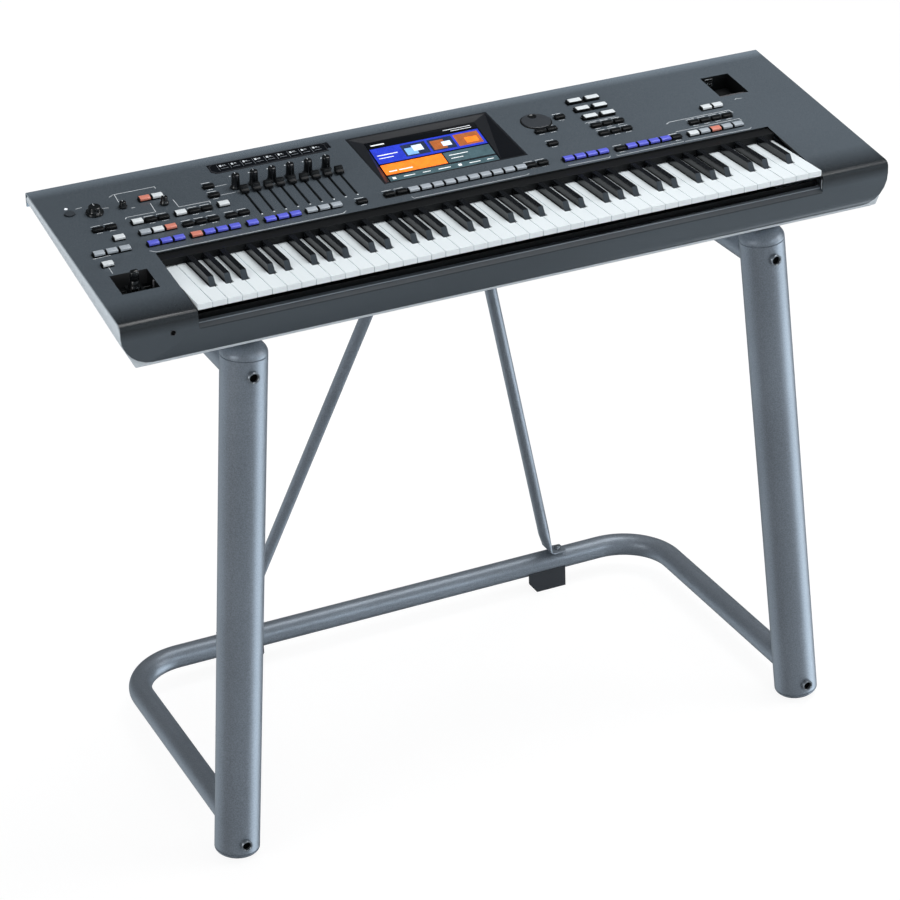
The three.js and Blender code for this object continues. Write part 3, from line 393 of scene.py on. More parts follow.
rubber = finish("rubber", (0.022, 0.026, 0.033), 0.75, grain=0.2, bump=0.12, grain_scale=900)
stand_paint = finish("stand_paint", (0.255, 0.292, 0.338), 0.42, cloud=0.06, cloud_scale=5, grain=0.25,
                     grain_scale=520, bump=0.12, wear=0.07, metallic=0.5)
bolt_metal = finish("bolt_metal", (0.30, 0.33, 0.36), 0.3, grain=0.2, metallic=0.8)
# Painted shade: a darker grey for the slope of the rail under the keys.
rail_painted_shade = finish("slip_painted_shade", (0.045, 0.055, 0.066), 0.4, grain=0.1, gloss=0.3)
# Painted shade for the crease of the rail and a painted highlight for its upper edge.
rail_crease_painted_shade = finish("slip_crease_painted_shade", (0.028, 0.034, 0.040), 0.5, grain=0.1, gloss=0.2)
rail_edge_painted_highlight = finish("slip_edge_painted_highlight", (0.20, 0.24, 0.28), 0.4, grain=0.05)
bezel_black = finish("bezel_black", (0.010, 0.012, 0.016), 0.45, grain=0.1, gloss=0.2)
# Painted light: a lighter grey for the joystick well's rear wall, which faces the light.
well_rear_painted_light = finish("well_rear_painted_light", (0.045, 0.047, 0.050), 0.45, grain=0.1, bump=0.03, gloss=0.3)
# A pale grey; on the joystick well's ledge it is a painted highlight.
ledge_grey = finish("ledge_grey", (0.13, 0.13, 0.14), 0.4, grain=0.05)
dial_grey = finish("dial_grey", (0.044, 0.050, 0.058), 0.3, grain=0.1, bump=0.01, gloss=0.4)
port_metal = finish("port_metal", (0.55, 0.58, 0.60), 0.3, grain=0.1, metallic=0.9)
board_green = finish("board_green", (0.02, 0.10, 0.045), 0.5, cloud=0.3, cloud_scale=60)
dark_glass = finish("dark_glass", (0.003, 0.004, 0.006), 0.1, grain=0.05, bump=0.0, gloss=0.25)
# Black for the depth of holes and openings: painted shade.
hole_painted_shade = finish("hole_painted_shade", (0.001, 0.001, 0.001), 0.6, gloss=0.05)
lamp_white = finish("lamp_white", (0.8, 0.84, 0.88), 0.3, glow=0.4)

# Case. Wells in the panel, whose walls are painted black as painted shade: x and s of their sides, and the
# place of the rear wall's material in the list.
WELLS = [(-592, -521, 72, 140, 3), (478, 538, 275, 353, 2)]
SIDE_BAND = 0.2 * MM
WELL_MARGIN = 2 * MM
KEY_WELL_REAR = 172
KEY_WELL_FLOOR = -25
RAIL_HIGH = -12
RAIL_BEFORE = 25
RAIL_FACING = 0.05
SQUARE_ON = 0.9
HALF_TURNED = 0.5
LEVEL = 0.9999


def panel_shell():
    """The frame's own plate. Its side bands get a lighter grey, a painted highlight; the walls of its wells
    and over the fascia get black, painted shade, with a lighter rear wall in the joystick well, painted
    light;
    and the rail before the keys gets a darker grey, painted shade.
    """
    part = welded("top_panel")
    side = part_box("top_panel")[1].x - SIDE_BAND
    beside_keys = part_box("highest_white_keys")[1].x + WELL_MARGIN
    slope = radians(PANEL_SLOPE)
    upward = Vector((0, -sin(slope), cos(slope)))
    part.normal_update()
    for face in part.faces:
        centre, normal = face.calc_center_median(), face.normal
        middle = TO_PANEL @ centre
        # Side faces get the painted highlight.
        if abs(centre.x) > side and abs(normal.x) > SQUARE_ON:
            face.material_index = 1
        if abs(centre.x) < beside_keys:
            in_well = 0 < middle.y < KEY_WELL_REAR and middle.z > KEY_WELL_FLOOR
            # Side walls and forward-facing walls of the key well get black: painted shade.
            if in_well and abs(normal.x) - min(0, normal.y) > SQUARE_ON:
                face.material_index = 2
            # Upward faces of the rail before the keys get the darker grey: painted shade under the keys.
            if middle.z < RAIL_HIGH and middle.y < RAIL_BEFORE and normal.z > RAIL_FACING:
                face.material_index = 4
        # Walls inside the wells get black as painted shade; a rear wall facing forward gets its own material,
        # lighter in the joystick well as painted light.
        for x0, x1, s0, s1, rear in WELLS:
            if x0 < middle.x < x1 and s0 < middle.y < s1 and middle.z < -LIFT:
                face.material_index = rear if normal.y < -HALF_TURNED else 2
    thing = piece("panel_shell", part, [panel_grey, panel_side_painted_highlight, trim_black, well_rear_painted_light, rail_painted_shade], ROOT,
                  ["top_panel"])
    for face in thing.data.polygons:
        face.use_smooth = not (abs(face.normal.dot(upward)) > LEVEL or abs(face.normal.x) > HALF_TURNED)


panel_shell()
refined("tray_shell", "lower_case", tray_white, 1.0)
refined("fascia_shell", "key_fascia", trim_black, 0.3)
refined("screen_surround", "screen_bezel", bezel_black, 0.6, 3)
for name, material in (("key_bed", trim_black), ("main_board", board_green)):
    frame["nodes"][name].data.materials.clear()
    frame["nodes"][name].data.materials.append(material)

# Keys
SIDE_FACING = 0.6
FRONT_FACING = -0.5

for run in ("lowest", "second", "third", "fourth", "fifth", "sixth", "highest"):
    refined(f"{run}_naturals", f"{run}_white_keys", key_white, 0.7, 3)
    sharps = refined(f"{run}_sharps", f"{run}_black_keys", key_black, 1.1, 3)
    for material in (key_black_painted_side_shade, key_black_painted_front_light):
        sharps.data.materials.append(material)
    # Sides get the painted shade and fronts the painted light.
    for face in sharps.data.polygons:
        if abs(face.normal.x) > SIDE_FACING:
            face.material_index = 1
        elif face.normal.y < FRONT_FACING:
            face.material_index = 2

# Push buttons. Each bank keeps its carrier, and every key of it gets a cap in the colour of its letter.
CAP_RISE = 5.6
CAP_FOOT = -2.0
CAP_SHOULDER = 2.6
CAP_LIFT = 1.7
CAP_CROWN_STEPS = 12
CAP_ROUNDING = 0.55
CAP_SIDE = 1.1
CAP_OVERHANG = 0.7
CAP_BROADER = 1.2
SLIM_RISE = 5.0
SLIM_BROADER = 1.8
SLIM_LENGTH = 7
STEM_TOP = -1.0
STEM_INSET = 0.4
SOCKET_MARGIN = 1.0
SOCKET_FRONT = 0.5
SOCKET_LOW, SOCKET_HIGH = 0.02, 0.12
ROW_GAP = 4
VOICE_WIDTH = 20
VOICE_END = 3.0
VOICE_BASE_RISE = 4.6
POWER_KEY_CORNER = (-560, 300)
POWER_KEY_RADIUS = 7.6
POWER_KEY_RISE = 2.6
SEAT = 0.2
CAP_LETTERS = {"b": 1, "s": 2, "w": 3, "g": 4}
POWER_COLOUR = 5
CAP_MATERIALS = [button_black, button_blue, button_salmon, button_white, button_silver, power_grey]
BANK_CAPS = {
    "left_row_buttons": "bbbsbbbbbbbggg",
    "left_upper_buttons": "wgggwgwswwwsw",
    "screen_row_buttons": "gggggggggg",
    "right_row_buttons": "bbbbbbbbwgsgg",
    "right_upper_buttons": "ww",
}


def cap_profile(s0, s1, rise):
    middle, half = (s0 + s1) / 2, (s1 - s0) / 2
    crown = []
    for x, y in arc(0, 0, 1, 180, 0, CAP_CROWN_STEPS):
        crown.append((middle + half * abs(x) ** CAP_ROUNDING * (1 if x > 0 else -1),
                      CAP_SHOULDER + (rise - CAP_SHOULDER) * max(y, 0) ** CAP_ROUNDING))
    return [(s1, CAP_LIFT), (s0, CAP_LIFT)] + crown


def button_tops(bank):
    """The rectangles on which a bank's keys end, as x and s, front row first."""
    part = place(cad_part(bank), TO_PANEL)
    top = max(v.co.z for v in part.verts)
    found = []
    for face in part.faces:
        corners = [v.co for v in face.verts]
        if all(top - p.z < LIFT for p in corners):
            xs, ss = [p.x for p in corners], [p.y for p in corners]
            found.append((min(xs), max(xs), min(ss), max(ss)))
    part.free()
    found.sort(key=lambda r: r[2] + r[3])
    rows, last = [], None
    for r in found:
        middle = (r[2] + r[3]) / 2
        if last is None or middle - last > ROW_GAP:
            rows.append([])
        rows[-1].append(r)
        last = middle
    return [r for row in rows for r in sorted(row)]


def lowered_carrier(bank):
    """The bank's own moulding with its keys ending below the plate, for the caps to stand on."""
    part = place(cad_part(bank), TO_PANEL)
    for vertex in part.verts:
        vertex.co.z = min(vertex.co.z, STEM_TOP)
    return part


def is_power_key(x1, s0):
    return x1 < POWER_KEY_CORNER[0] and s0 > POWER_KEY_CORNER[1]


def is_slim(s0, s1):
    return s1 - s0 < SLIM_LENGTH


def cap(whole, x0, x1, s0, s1, colour):
    """One push button: a stem in its hole and a convex cap that stands out over the plate."""
    stem = rectangle(x0 + STEM_INSET, x1 - STEM_INSET, s0 + STEM_INSET, s1 - STEM_INSET)
    if is_power_key(x1, s0):
        add(whole, slab(stem, CAP_FOOT, CAP_LIFT + SEAT))
        button = disc((x0 + x1) / 2, (s0 + s1) / 2, POWER_KEY_RADIUS, CAP_LIFT, POWER_KEY_RISE, 0.3)
        add(whole, button, POWER_COLOUR)
        return
    add(whole, slab(stem, CAP_FOOT, CAP_SHOULDER))
    x0, x1 = x0 - CAP_OVERHANG, x1 + CAP_OVERHANG
    if x1 - x0 > VOICE_WIDTH:
        s0, s1 = s0 - CAP_BROADER, s1 + CAP_BROADER
        add(whole, block(x0, x1, s0, s1, CAP_LIFT, VOICE_BASE_RISE, 1.0, 3))
        side = CAP_SIDE / 2
        # The white top stops VOICE_END short of the left end, leaving the black base bare there: painted
        # shade on the cap's left side.
        add(whole, block(x0 + VOICE_END, x1 - side, s0 + side, s1 - side, CAP_LIFT + SEAT, CAP_RISE,
                         1.5, 4), CAP_LETTERS["w"])
    elif is_slim(s0, s1):
        profile = cap_profile(s0 - SLIM_BROADER, s1 + SLIM_BROADER, SLIM_RISE)
        add(whole, round_edges(bar(profile, x0, x1), 0.5, 3))
    else:
        s0, s1 = s0 - CAP_BROADER, s1 + CAP_BROADER
        side = CAP_SIDE / 3
        core = cap_profile(s0 + side, s1 - side, CAP_RISE - side)
        add(whole, round_edges(bar(core, x0, x1), 0.2))
        # The coloured cover stops CAP_SIDE short of the left end, so the black core shows there: painted
        # shade on the cap's left side.
        cover = bar(cap_profile(s0, s1, CAP_RISE), x0 + CAP_SIDE, x1 - side)
        add(whole, round_edges(cover, 0.4, 3), CAP_LETTERS[colour])


def sockets(bank):
    """Dark plates round the buttons of a bank, one to each group that stands close together."""
    groups = []
    for x0, x1, s0, s1 in button_tops(bank):
        if is_power_key(x1, s0):
            continue
        broader = SLIM_BROADER if is_slim(s0, s1) else CAP_BROADER
        s0, s1 = s0 - broader, s1 + broader
        last = groups[-1] if groups else None
        if last and 0 < x0 - last[1] < SLIM_LENGTH and abs(s0 - last[2]) < ROW_GAP:
            groups[-1] = [last[0], x1, min(last[2], s0), max(last[3], s1)]
        else:
            groups.append([x0, x1, s0, s1])
    whole = bmesh.new()
    for x0, x1, s0, s1 in groups:
        outline = rectangle(x0 - SOCKET_MARGIN - CAP_OVERHANG, x1 + SOCKET_MARGIN, s0 - SOCKET_FRONT,
                            s1 + SOCKET_MARGIN)
        add(whole, slab(outline, SOCKET_LOW, SOCKET_HIGH))
    return whole


for bank, letters in BANK_CAPS.items():
    whole = add(bmesh.new(), lowered_carrier(bank))
    wide = iter(letters)
    for x0, x1, s0, s1 in button_tops(bank):
        coloured = s1 - s0 > SLIM_LENGTH and x1 - x0 < VOICE_WIDTH
        cap(whole, x0, x1, s0, s1, next(wide) if coloured else None)
    piece(f"{bank}_caps", place(whole, PANEL), CAP_MATERIALS, body_of(bank), [bank])
    piece(f"{bank}_sockets", place(sockets(bank), PANEL), [trim_black])

# Turned knobs, from profiles that are shares of the node's radius and height. A pointer's reach is in
# shares of the radius.
POINTER_WIDTH = 0.9
POINTER_DEPTH = 1
STUB_SHARE = 0.3
STUB_TOP = 0.3
TALL_PROFILE = [
    (0.97, 0.016), (1.0, 0.035), (1.0, 0.075), (0.93, 0.11), (0.84, 0.17), (0.785, 0.27), (0.755, 0.42),
    (0.735, 0.6), (0.72, 0.8), (0.705, 0.93), (0.67, 0.975), (0.6, 0.995), (0.5, 1.0), (0.1, 1.0),
]
WIDE_PROFILE = [
    (0.97, 0.03), (1.0, 0.06), (1.0, 0.2), (0.97, 0.28), (0.74, 0.36), (0.71, 0.42), (0.69, 0.85),
    (0.66, 0.95), (0.6, 1.0), (0.5, 0.985), (0.1, 0.975),
]
SHORT_PROFILE = [
    (0.97, 0.04), (1.0, 0.08), (1.0, 0.26), (0.9, 0.36), (0.78, 0.45), (0.745, 0.88), (0.7, 0.97),
    (0.62, 1.0), (0.1, 1.0),
]
KNOBS = {f"live_knob_{number}": (TALL_PROFILE, (0.15, 0.6)) for number in range(1, 7)}
KNOBS["master_volume_knob"] = (WIDE_PROFILE, (0.2, 0.6))
KNOBS["mic_gain_knob"] = KNOBS["balance_knob"] = (SHORT_PROFILE, (0.1, 0.6))


def knob(name, profile, pointer_reach):
    low, high = panel_box(name)
    radius, height = (high.x - low.x) / 2, high.z - LIFT
    stub = [(STUB_SHARE * radius, low.z), (STUB_SHARE * radius, STUB_TOP)]
    whole = add(bmesh.new(), turned(stub + [(r * radius, h * height) for r, h in profile]))
    inner, outer = (share * radius for share in pointer_reach)
    half = POINTER_WIDTH / 2
    add(whole, block(-half, half, inner, outer, height - POINTER_DEPTH, high.z, 0.05, 1), 1)
    shift(whole, (*middle_of(low, high), 0))
    piece(f"{name}_cap", place(whole, PANEL), [gloss_black, print_white], body_of(name), [name])


for name, (profile, reach) in KNOBS.items():
    knob(name, profile, reach)

# Data dial: a flat disc with a round finger dish, in a thin collar.
DIAL_RINGS = 30
DIAL_SHARE = 0.7
DIAL_STEM_SHARE = 0.13
DIAL_FOOT = 0.3
DIAL_TOP_EDGE = 0.9
DISH_SHARE = 0.62
DISH_RADIUS = 7.0
DISH_DEPTH = 1.5
DISH_FACING = 0.3
COLLAR_PROFILE = [(2.2, 0.02), (2.2, 0.15), (1.9, 0.25), (0.6, 0.25)]


def data_dial():
    low, high = panel_box("data_dial")
    centre = (*middle_of(low, high), 0)
    radius, top = (high.x - low.x) / 2, DIAL_SHARE * high.z
    dish = Vector((0, DISH_SHARE * radius, 0))
    stem, rim_radius = DIAL_STEM_SHARE * radius, radius - DIAL_TOP_EDGE
    profile = [(stem, low.z), (stem, DIAL_FOOT), (radius - 0.4, DIAL_FOOT), (radius, DIAL_FOOT + 0.4),
               (radius, top - 0.9), (radius - 0.25, top - 0.35), (rim_radius, top)]
    inward = [(rim_radius * (1 - i / DIAL_RINGS), top) for i in range(1, DIAL_RINGS)]
    part = turned(profile + inward, 2 * FINE_SIDES)
    for vertex in part.verts:
        off = (Vector((vertex.co.x, vertex.co.y, 0)) - dish).length / DISH_RADIUS
        if vertex.co.z > top - LIFT and off < 1:
            vertex.co.z -= DISH_DEPTH * (1 - off * off)
    whole = add(bmesh.new(), part)
    for face in whole.faces:
        in_dish = (face.calc_center_median().xy - dish.xy).length < DISH_RADIUS
        if face.normal.z > DISH_FACING and in_dish:
            face.material_index = 1
    shift(whole, centre)
    piece("data_dial_disc", place(whole, PANEL), [dial_grey, gloss_black], "data_dial",
          ["data_dial"])
    collar = turned([(radius + out, height) for out, height in COLLAR_PROFILE])
    piece("data_dial_collar", place(shift(collar, centre), PANEL), [trim_black])


data_dial()

# Faders: a stepped cap with three finger ridges, a stem in the slot and a shoe under the plate.
FADER_STEP_SHARE = 0.42
FADER_STEP_RISE = 6.0
FADER_FOOT = 1.2
STEM_REACH = 3
STEM_HALF, STEM_FOOT, STEM_HIGH = 0.8, -4.3, 1.8
SHOE_HALF, SHOE_HIGH = 2.5, -3.3
FADER_RIDGES = 3
RIDGE_FIRST = 2.2
RIDGE_PITCH = 1.5
RIDGE_HALF = 0.3
RIDGE_END = 1.2
FADER_BOARD = (6, 72, 10, -9.5, -8)
FADERS = [f"fader_{number}" for number in range(1, 10)]


def fader(name):
    low, high = panel_box(name)
    front, rear, top = low.y, high.y, high.z
    x0, x1 = low.x, high.x
    step = front + FADER_STEP_SHARE * (rear - front)
    outline = [(front, FADER_FOOT), (rear, FADER_FOOT), (rear - 0.5, top), (step + 1.0, top),
               (step, FADER_STEP_RISE + 0.6), (step - 0.8, FADER_STEP_RISE),
               (front + 0.4, FADER_STEP_RISE - 0.6)]
    whole = add(bmesh.new(), round_edges(bar(outline[::-1], x0, x1), 0.45, 3))
    x, s = middle_of(low, high)
    stem, shoe = (STEM_HALF, STEM_FOOT, STEM_HIGH, 0.2), (SHOE_HALF, low.z, SHOE_HIGH, 0.3)
    for half, bottom, end, edge in (stem, shoe):
        add(whole, block(x - half, x + half, s - STEM_REACH, s + STEM_REACH, bottom, end, edge))
    for i in range(FADER_RIDGES):
        ridge = step + RIDGE_FIRST + RIDGE_PITCH * i
        add(whole, block(x0 + RIDGE_END, x1 - RIDGE_END, ridge - RIDGE_HALF, ridge + RIDGE_HALF, top - 0.4,
                         top - 0.02, 0.1, 1), 1)
    piece(f"{name}_cap", place(whole, PANEL), [button_black, gloss_black], name, [name])


def fader_board():
    """The dark board below the slots, so that no light comes up through them."""
    low, high = panel_box(FADERS[0])[0], panel_box(FADERS[-1])[1]
    beside, before, behind, bottom, top = FADER_BOARD
    part = block(low.x - beside, high.x + beside, low.y - before, high.y + behind, bottom, top, 0.3)
    piece("fader_board", place(part, PANEL), [trim_black])


for name in FADERS:
    fader(name)
fader_board()

# Joystick: a lever with a skirt and a rounded block, in its cradle. The well has a pale ledge, a painted
# highlight along its front edge, and ribs.
LEVER_TOP = (3.3, 0.5)
LEVER_BALL = [(3.2, 1), (4.6, 3), (4.9, 6), (3.4, 10)]
SKIRT_PROFILE = [(9.5, -7), (8.6, -5), (7.4, -2), (6.6, 2), (6.2, 3)]
GRIP_HALF_X, GRIP_HALF_S, GRIP_FOOT, GRIP_EDGE = 6.8, 5.2, 1.5, 4.2
# Sides in x and s, low, high and edge: the ledge at the front of the well (painted highlight), a rib on its
# right, a step
WELL_TRIM = [
    (-582.6, -530.4, 79.6, 84.1, -7, -5.5, 0.3),
    (-531.0, -529.6, 99.6, 103.6, -16, -1.5, 0.3),
    (-580.6, -571.6, 84.3, 85.8, -7.5, -6.2, 0.2),
]


def joystick():
    low, high = panel_box("joystick")
    x, s = middle_of(low, high)
    whole = bmesh.new()
    add(whole, shift(turned([(r, low.z + h) for r, h in LEVER_BALL] + [LEVER_TOP]), (x, s, 0)))
    add(whole, shift(turned(SKIRT_PROFILE), (x, s, 0)))
    add(whole, block(x - GRIP_HALF_X, x + GRIP_HALF_X, s - GRIP_HALF_S, s + GRIP_HALF_S, GRIP_FOOT,
                     high.z - LIFT, GRIP_EDGE, 6))
    piece("joystick_lever", place(whole, PANEL), [gloss_black], "joystick", ["joystick"])
    refined("joystick_cradle", "joystick_gimbal", button_black, 0.4)


def joystick_well():
    whole = bmesh.new()
    for sides in WELL_TRIM:
        add(whole, block(*sides))
    piece("joystick_well_trim", place(whole, PANEL), [ledge_grey])


joystick()
joystick_well()

# Strip display: a dark window in a thin raised rim, with a row of small lit cells.
STRIP_OUTLINE = [
    (-343, 374), (-344.5, 358), (-338, 350.5), (-155, 353.5), (-153.5, 375), (-158, 379.3), (-338, 379.3),
]
STRIP_LOW, STRIP_HIGH = 0.03, 0.35
STRIP_RIM_HIGH, STRIP_RIM_WIDTH, STRIP_RIM_FALL = 1.0, 2.2, 0.6
STRIP_CELLS = 9
STRIP_FIRST_CELL = -326
STRIP_CELL_PITCH = 18.9
MARK_LOW, MARK_HIGH = 0.36, 0.42
BRIGHT, FAINT = 2, 3


def inset(outline, distance):
    """The outline drawn in by a distance, corner by corner, for a convex outline."""
    centre = Vector((sum(x for x, _ in outline), sum(y for _, y in outline))) / len(outline)
    drawn = []
    for x, y in outline:
        sign_x = 1 if x > centre.x else -1
        sign_y = 1 if y > centre.y else -1
        drawn.append((x - sign_x * distance, y - sign_y * distance))
    return drawn


def rim(outer, inner, low, high, fall):
    """A flat ring between two outlines whose outer edge falls away."""
    rings = ((outer, low), (inset(outer, fall), high), (inner, high), (inner, low))
    return loft([[(x, y, height) for x, y in outline] for outline, height in rings], True)


def cell_marks(i):
    """The marks of one cell: from and to along x, from and to along s, and the place of their material."""
    return [
        (0, 3.2, 368.5, 373.5, BRIGHT), (4.6, 9.5 - i % 3, 371.5, 372.6, BRIGHT),
        (4.6, 11 - i % 2 * 2, 369.2, 370.2, FAINT), (0.5, 11.5, 362.5, 363.4, FAINT),
        (-3.2, -2.8, 358, 375, FAINT),
    ]


def strip_display():
    low, high = panel_box("strip_display")
    whole = add(bmesh.new(), slab(STRIP_OUTLINE, STRIP_LOW, STRIP_HIGH))
    add(whole, block(low.x, high.x, low.y, high.y, low.z, high.z, 0.3))
    window = inset(STRIP_OUTLINE, STRIP_RIM_WIDTH)
    add(whole, rim(STRIP_OUTLINE, window, STRIP_LOW, STRIP_RIM_HIGH, STRIP_RIM_FALL), 1)
    for i in range(STRIP_CELLS):
        x = STRIP_FIRST_CELL + STRIP_CELL_PITCH * i
        for x0, x1, s0, s1, shade in cell_marks(i):
            add(whole, slab(rectangle(x + x0, x + x1, s0, s1), MARK_LOW, MARK_HIGH), shade)
    materials = [dark_glass, panel_dark, print_white, print_grey]
    piece("strip_display_window", place(whole, PANEL), materials, replaced=["strip_display"])


strip_display()

# Screen. Tiles are drawn in shares of the glass, from its front left corner. Colour, glow, height and tiles.
GLASS = {
    "night": ((0.010, 0.012, 0.018), 0.5, 0.04, [(0.01, 0.99, 0.14, 0.16)]),
    "band": ((0.012, 0.030, 0.42), 0.8, 0.04, [(0.01, 0.99, 0.45, 0.83)]),
    "sky": ((0.16, 0.33, 0.62), 0.8, 0.07, [(0.29, 0.39, 0.53, 0.70)]),
    "mist": ((0.55, 0.66, 0.80), 0.8, 0.09, [(0.36, 0.45, 0.60, 0.74), (0.62, 0.70, 0.58, 0.69)]),
    "dusk": ((0.012, 0.022, 0.06), 0.6, 0.06, [
        (0.27, 0.49, 0.50, 0.79), (0.51, 0.73, 0.50, 0.79), (0.77, 0.86, 0.62, 0.76)]),
    "warm": ((0.30, 0.085, 0.02), 0.8, 0.07, [(0.53, 0.65, 0.53, 0.75), (0.75, 0.97, 0.50, 0.79)]),
    "orange": ((0.95, 0.18, 0.012), 0.9, 0.08, [(0.01, 0.56, 0.17, 0.42), (0.83, 0.94, 0.55, 0.68)]),
    "teal": ((0.045, 0.085, 0.10), 0.7, 0.04, [(0.01, 0.99, 0.015, 0.13), (0.57, 0.99, 0.17, 0.42)]),
    "label": ((0.75, 0.78, 0.80), 0.7, 0.1, [
        (0.04, 0.22, 0.64, 0.66), (0.04, 0.17, 0.57, 0.585), (0.05, 0.12, 0.23, 0.255),
        (0.14, 0.26, 0.23, 0.255), (0.61, 0.78, 0.33, 0.345), (0.61, 0.72, 0.25, 0.265),
        (0.04, 0.16, 0.90, 0.925), (0.70, 0.95, 0.935, 0.945), (0.76, 0.95, 0.89, 0.90),
        (0.04, 0.07, 0.05, 0.10), (0.14, 0.24, 0.066, 0.082), (0.31, 0.38, 0.066, 0.082),
        (0.45, 0.56, 0.066, 0.082), (0.63, 0.66, 0.05, 0.10), (0.73, 0.83, 0.066, 0.082),
        (0.89, 0.95, 0.066, 0.082)]),
}
TILE_THICKNESS = 0.02


def screen_glass():
    low, high = panel_box("screen_glass")
    points = [TO_PANEL @ v.co for v in frame["nodes"]["screen_glass"].data.vertices]
    front_top = max(p.z for p in points if p.y < (low.y + high.y) / 2)
    corner = Vector((low.x, low.y, front_top))
    across = Vector((high.x - low.x, 0, 0))
    back = Vector((0, high.y - low.y, high.z - front_top))
    out = across.cross(back).normalized()
    materials = [dark_glass]
    whole = add(bmesh.new(), round_edges(place(cad_part("screen_glass"), TO_PANEL), 0.3))
    for name, (colour, glow, rise, tiles) in GLASS.items():
        for sides in tiles:
            tile = [corner + across * x + back * y for x, y in rectangle(*sides)]
            part = loft([[p + out * (rise - TILE_THICKNESS) for p in tile], [p + out * rise for p in tile]])
            add(whole, part, len(materials))
        materials.append(finish(f"glass_{name}", colour, 0.25, cloud=0.12, cloud_scale=90, grain=0.06,
                                glow=glow))
    piece("screen_picture", place(whole, PANEL), materials, replaced=["screen_glass"])


screen_glass()

# Printed lines and marks on the panel, in x and s, and black strips beside the fader slots that are painted
# shade.
PRINT_LINES = [
    [(-509, 345.5), (-501.5, 350), (-437, 350), (-437, 344)], [(-499.5, 350), (-501, 326)],
    [(-508.6, 276), (-506, 280), (-461, 279), (-459.5, 306)],
    [(-425, 303), (-424.6, 279.5), (-377, 279), (-378, 272)], [(-577, 156), (-577.5, 138)],
    [(-508, 178), (-500, 171), (-210, 171), (-203, 176)],
    [(-97.5, 177.5), (-95.5, 172), (89.5, 172), (95, 175)], [(160, 174), (229.5, 173), (232.5, 176)],
    [(243, 176), (245, 173.5), (357, 174.5), (359, 176)], [(361, 174), (473, 172), (478, 175.5)],
    [(360.6, 233.8), (367.5, 238.5), (473, 238.5), (476, 229)],
    [(362, 206.5), (474, 207.5), (475.5, 200.6)],
    [(245, 284), (249, 286), (297, 286.5), (300, 281)],
    [(499, 265), (503, 267.5), (512, 265.5)], [(-354, 316), (-336, 316)], [(-355, 289), (-332, 289)],
    [(-566, 331), (-556, 332)], [(-529, 318), (-520, 316.5)], [(-490, 303), (-484, 303)],
    [(-590, 186), (-563, 187)],
]
LINE_WIDTH = 0.9
LEAST_MITRE = 0.4
KNOB_DOTS = [(x, 337) for x in (-322.5, -292, -262, -234, -205, -175)]
KNOB_DOT_RADIUS = 1.3
FADER_DOT_PLACE = 214.4
FADER_DOT_RADIUS = 1.4
DOT_CORNERS = 24
DASHES = (2.2, 1.4, 2.8, 1.8, 1.2, 2.4)
DASH_GAP = 0.7
DASH_HEIGHT = 1.3
LEGEND_LENGTH = 9
LEGEND_BEFORE = 4.2
KEY_MARK_BEHIND = 10.4
KEY_MARK_WIDTH = 1.1
SLOT_EDGES = ((-2.2, -1.35), (1.35, 2.2))
SLOT_BEFORE_CAP = 60


def ribbon(points, width):
    """A flat line of even width with mitred corners."""
    path = [Vector(p) for p in points]
    left, right = [], []
    for i, point in enumerate(path):
        into = (point - path[i - 1]).normalized() if i else (path[1] - point).normalized()
        away = (path[i + 1] - point).normalized() if i + 1 < len(path) else into
        normal = Vector((-(into + away).y, (into + away).x)).normalized()
        reach = width / 2 / max(LEAST_MITRE, normal.dot(Vector((-into.y, into.x))))
        left.append(tuple(point + normal * reach))
        right.append(tuple(point - normal * reach))
    part = bmesh.new()
    for corners in zip(left, left[1:], right[1:], right):
        part.faces.new([part.verts.new((*p, LIFT)) for p in corners])
    bmesh.ops.remove_doubles(part, verts=part.verts, dist=LIFT)
    return part


def legend(x, s, length, start=0):
    """A row of short strokes in the place of a small legend."""
    part, reach, i = bmesh.new(), x - length / 2, start
    while reach < x + length / 2:
        end = min(reach + DASHES[i % len(DASHES)], x + length / 2)
        add(part, flat(rectangle(reach, end, s - DASH_HEIGHT / 2, s + DASH_HEIGHT / 2)))
        reach = end + DASH_GAP
        i += 1
    return part


def dot(x, s, radius):
    return flat(arc(x, s, radius, 0, 360 - 360 / DOT_CORNERS, DOT_CORNERS - 1))


def prints():
    whole, edges = bmesh.new(), bmesh.new()
    for points in PRINT_LINES:
        add(whole, ribbon(points, LINE_WIDTH))
    for x, s in KNOB_DOTS:
        add(whole, dot(x, s, KNOB_DOT_RADIUS))
    for name in FADERS:
        low, high = panel_box(name)
        middle = (low.x + high.x) / 2
        add(whole, dot(middle, FADER_DOT_PLACE, FADER_DOT_RADIUS))
        # Black strips along both sides of each slot: painted shade that widens the dark of the slot.
        for x0, x1 in SLOT_EDGES:
            add(edges, flat(rectangle(middle + x0, middle + x1, low.y - SLOT_BEFORE_CAP, high.y)))
    for bank in BANK_CAPS:
        for i, (x0, x1, s0, s1) in enumerate(button_tops(bank)):
            if is_slim(s0, s1) and not is_power_key(x1, s0):
                behind = s1 + KEY_MARK_BEHIND
                add(whole, flat(rectangle(x0 + 1, x1 + 0.5, behind, behind + KEY_MARK_WIDTH)))
                add(whole, legend((x0 + x1) / 2, s0 - LEGEND_BEFORE, LEGEND_LENGTH, i + 2))
    piece("panel_prints", place(whole, PANEL), [print_white])
    piece("fader_slot_painted_shade", place(edges, PANEL), [trim_black])


prints()

# Painted lines on the rail before the keys, in y and z: painted shade in the crease below it and a painted
# highlight on its upper edge.
PANEL_FACE_Y = -3.0
LINE_SUNK, LINE_PROUD = 0.3, 0.05
CREASE_Z = -34.6
CREASE_HEIGHT = 1.5
CREASE_DEPTH = 0.5
CREASE_PROUD = 0.02
RAIL_TOP = (7.0, -26.0)
RAIL_EDGE_BEFORE = 3.2
RAIL_EDGE = 1.1


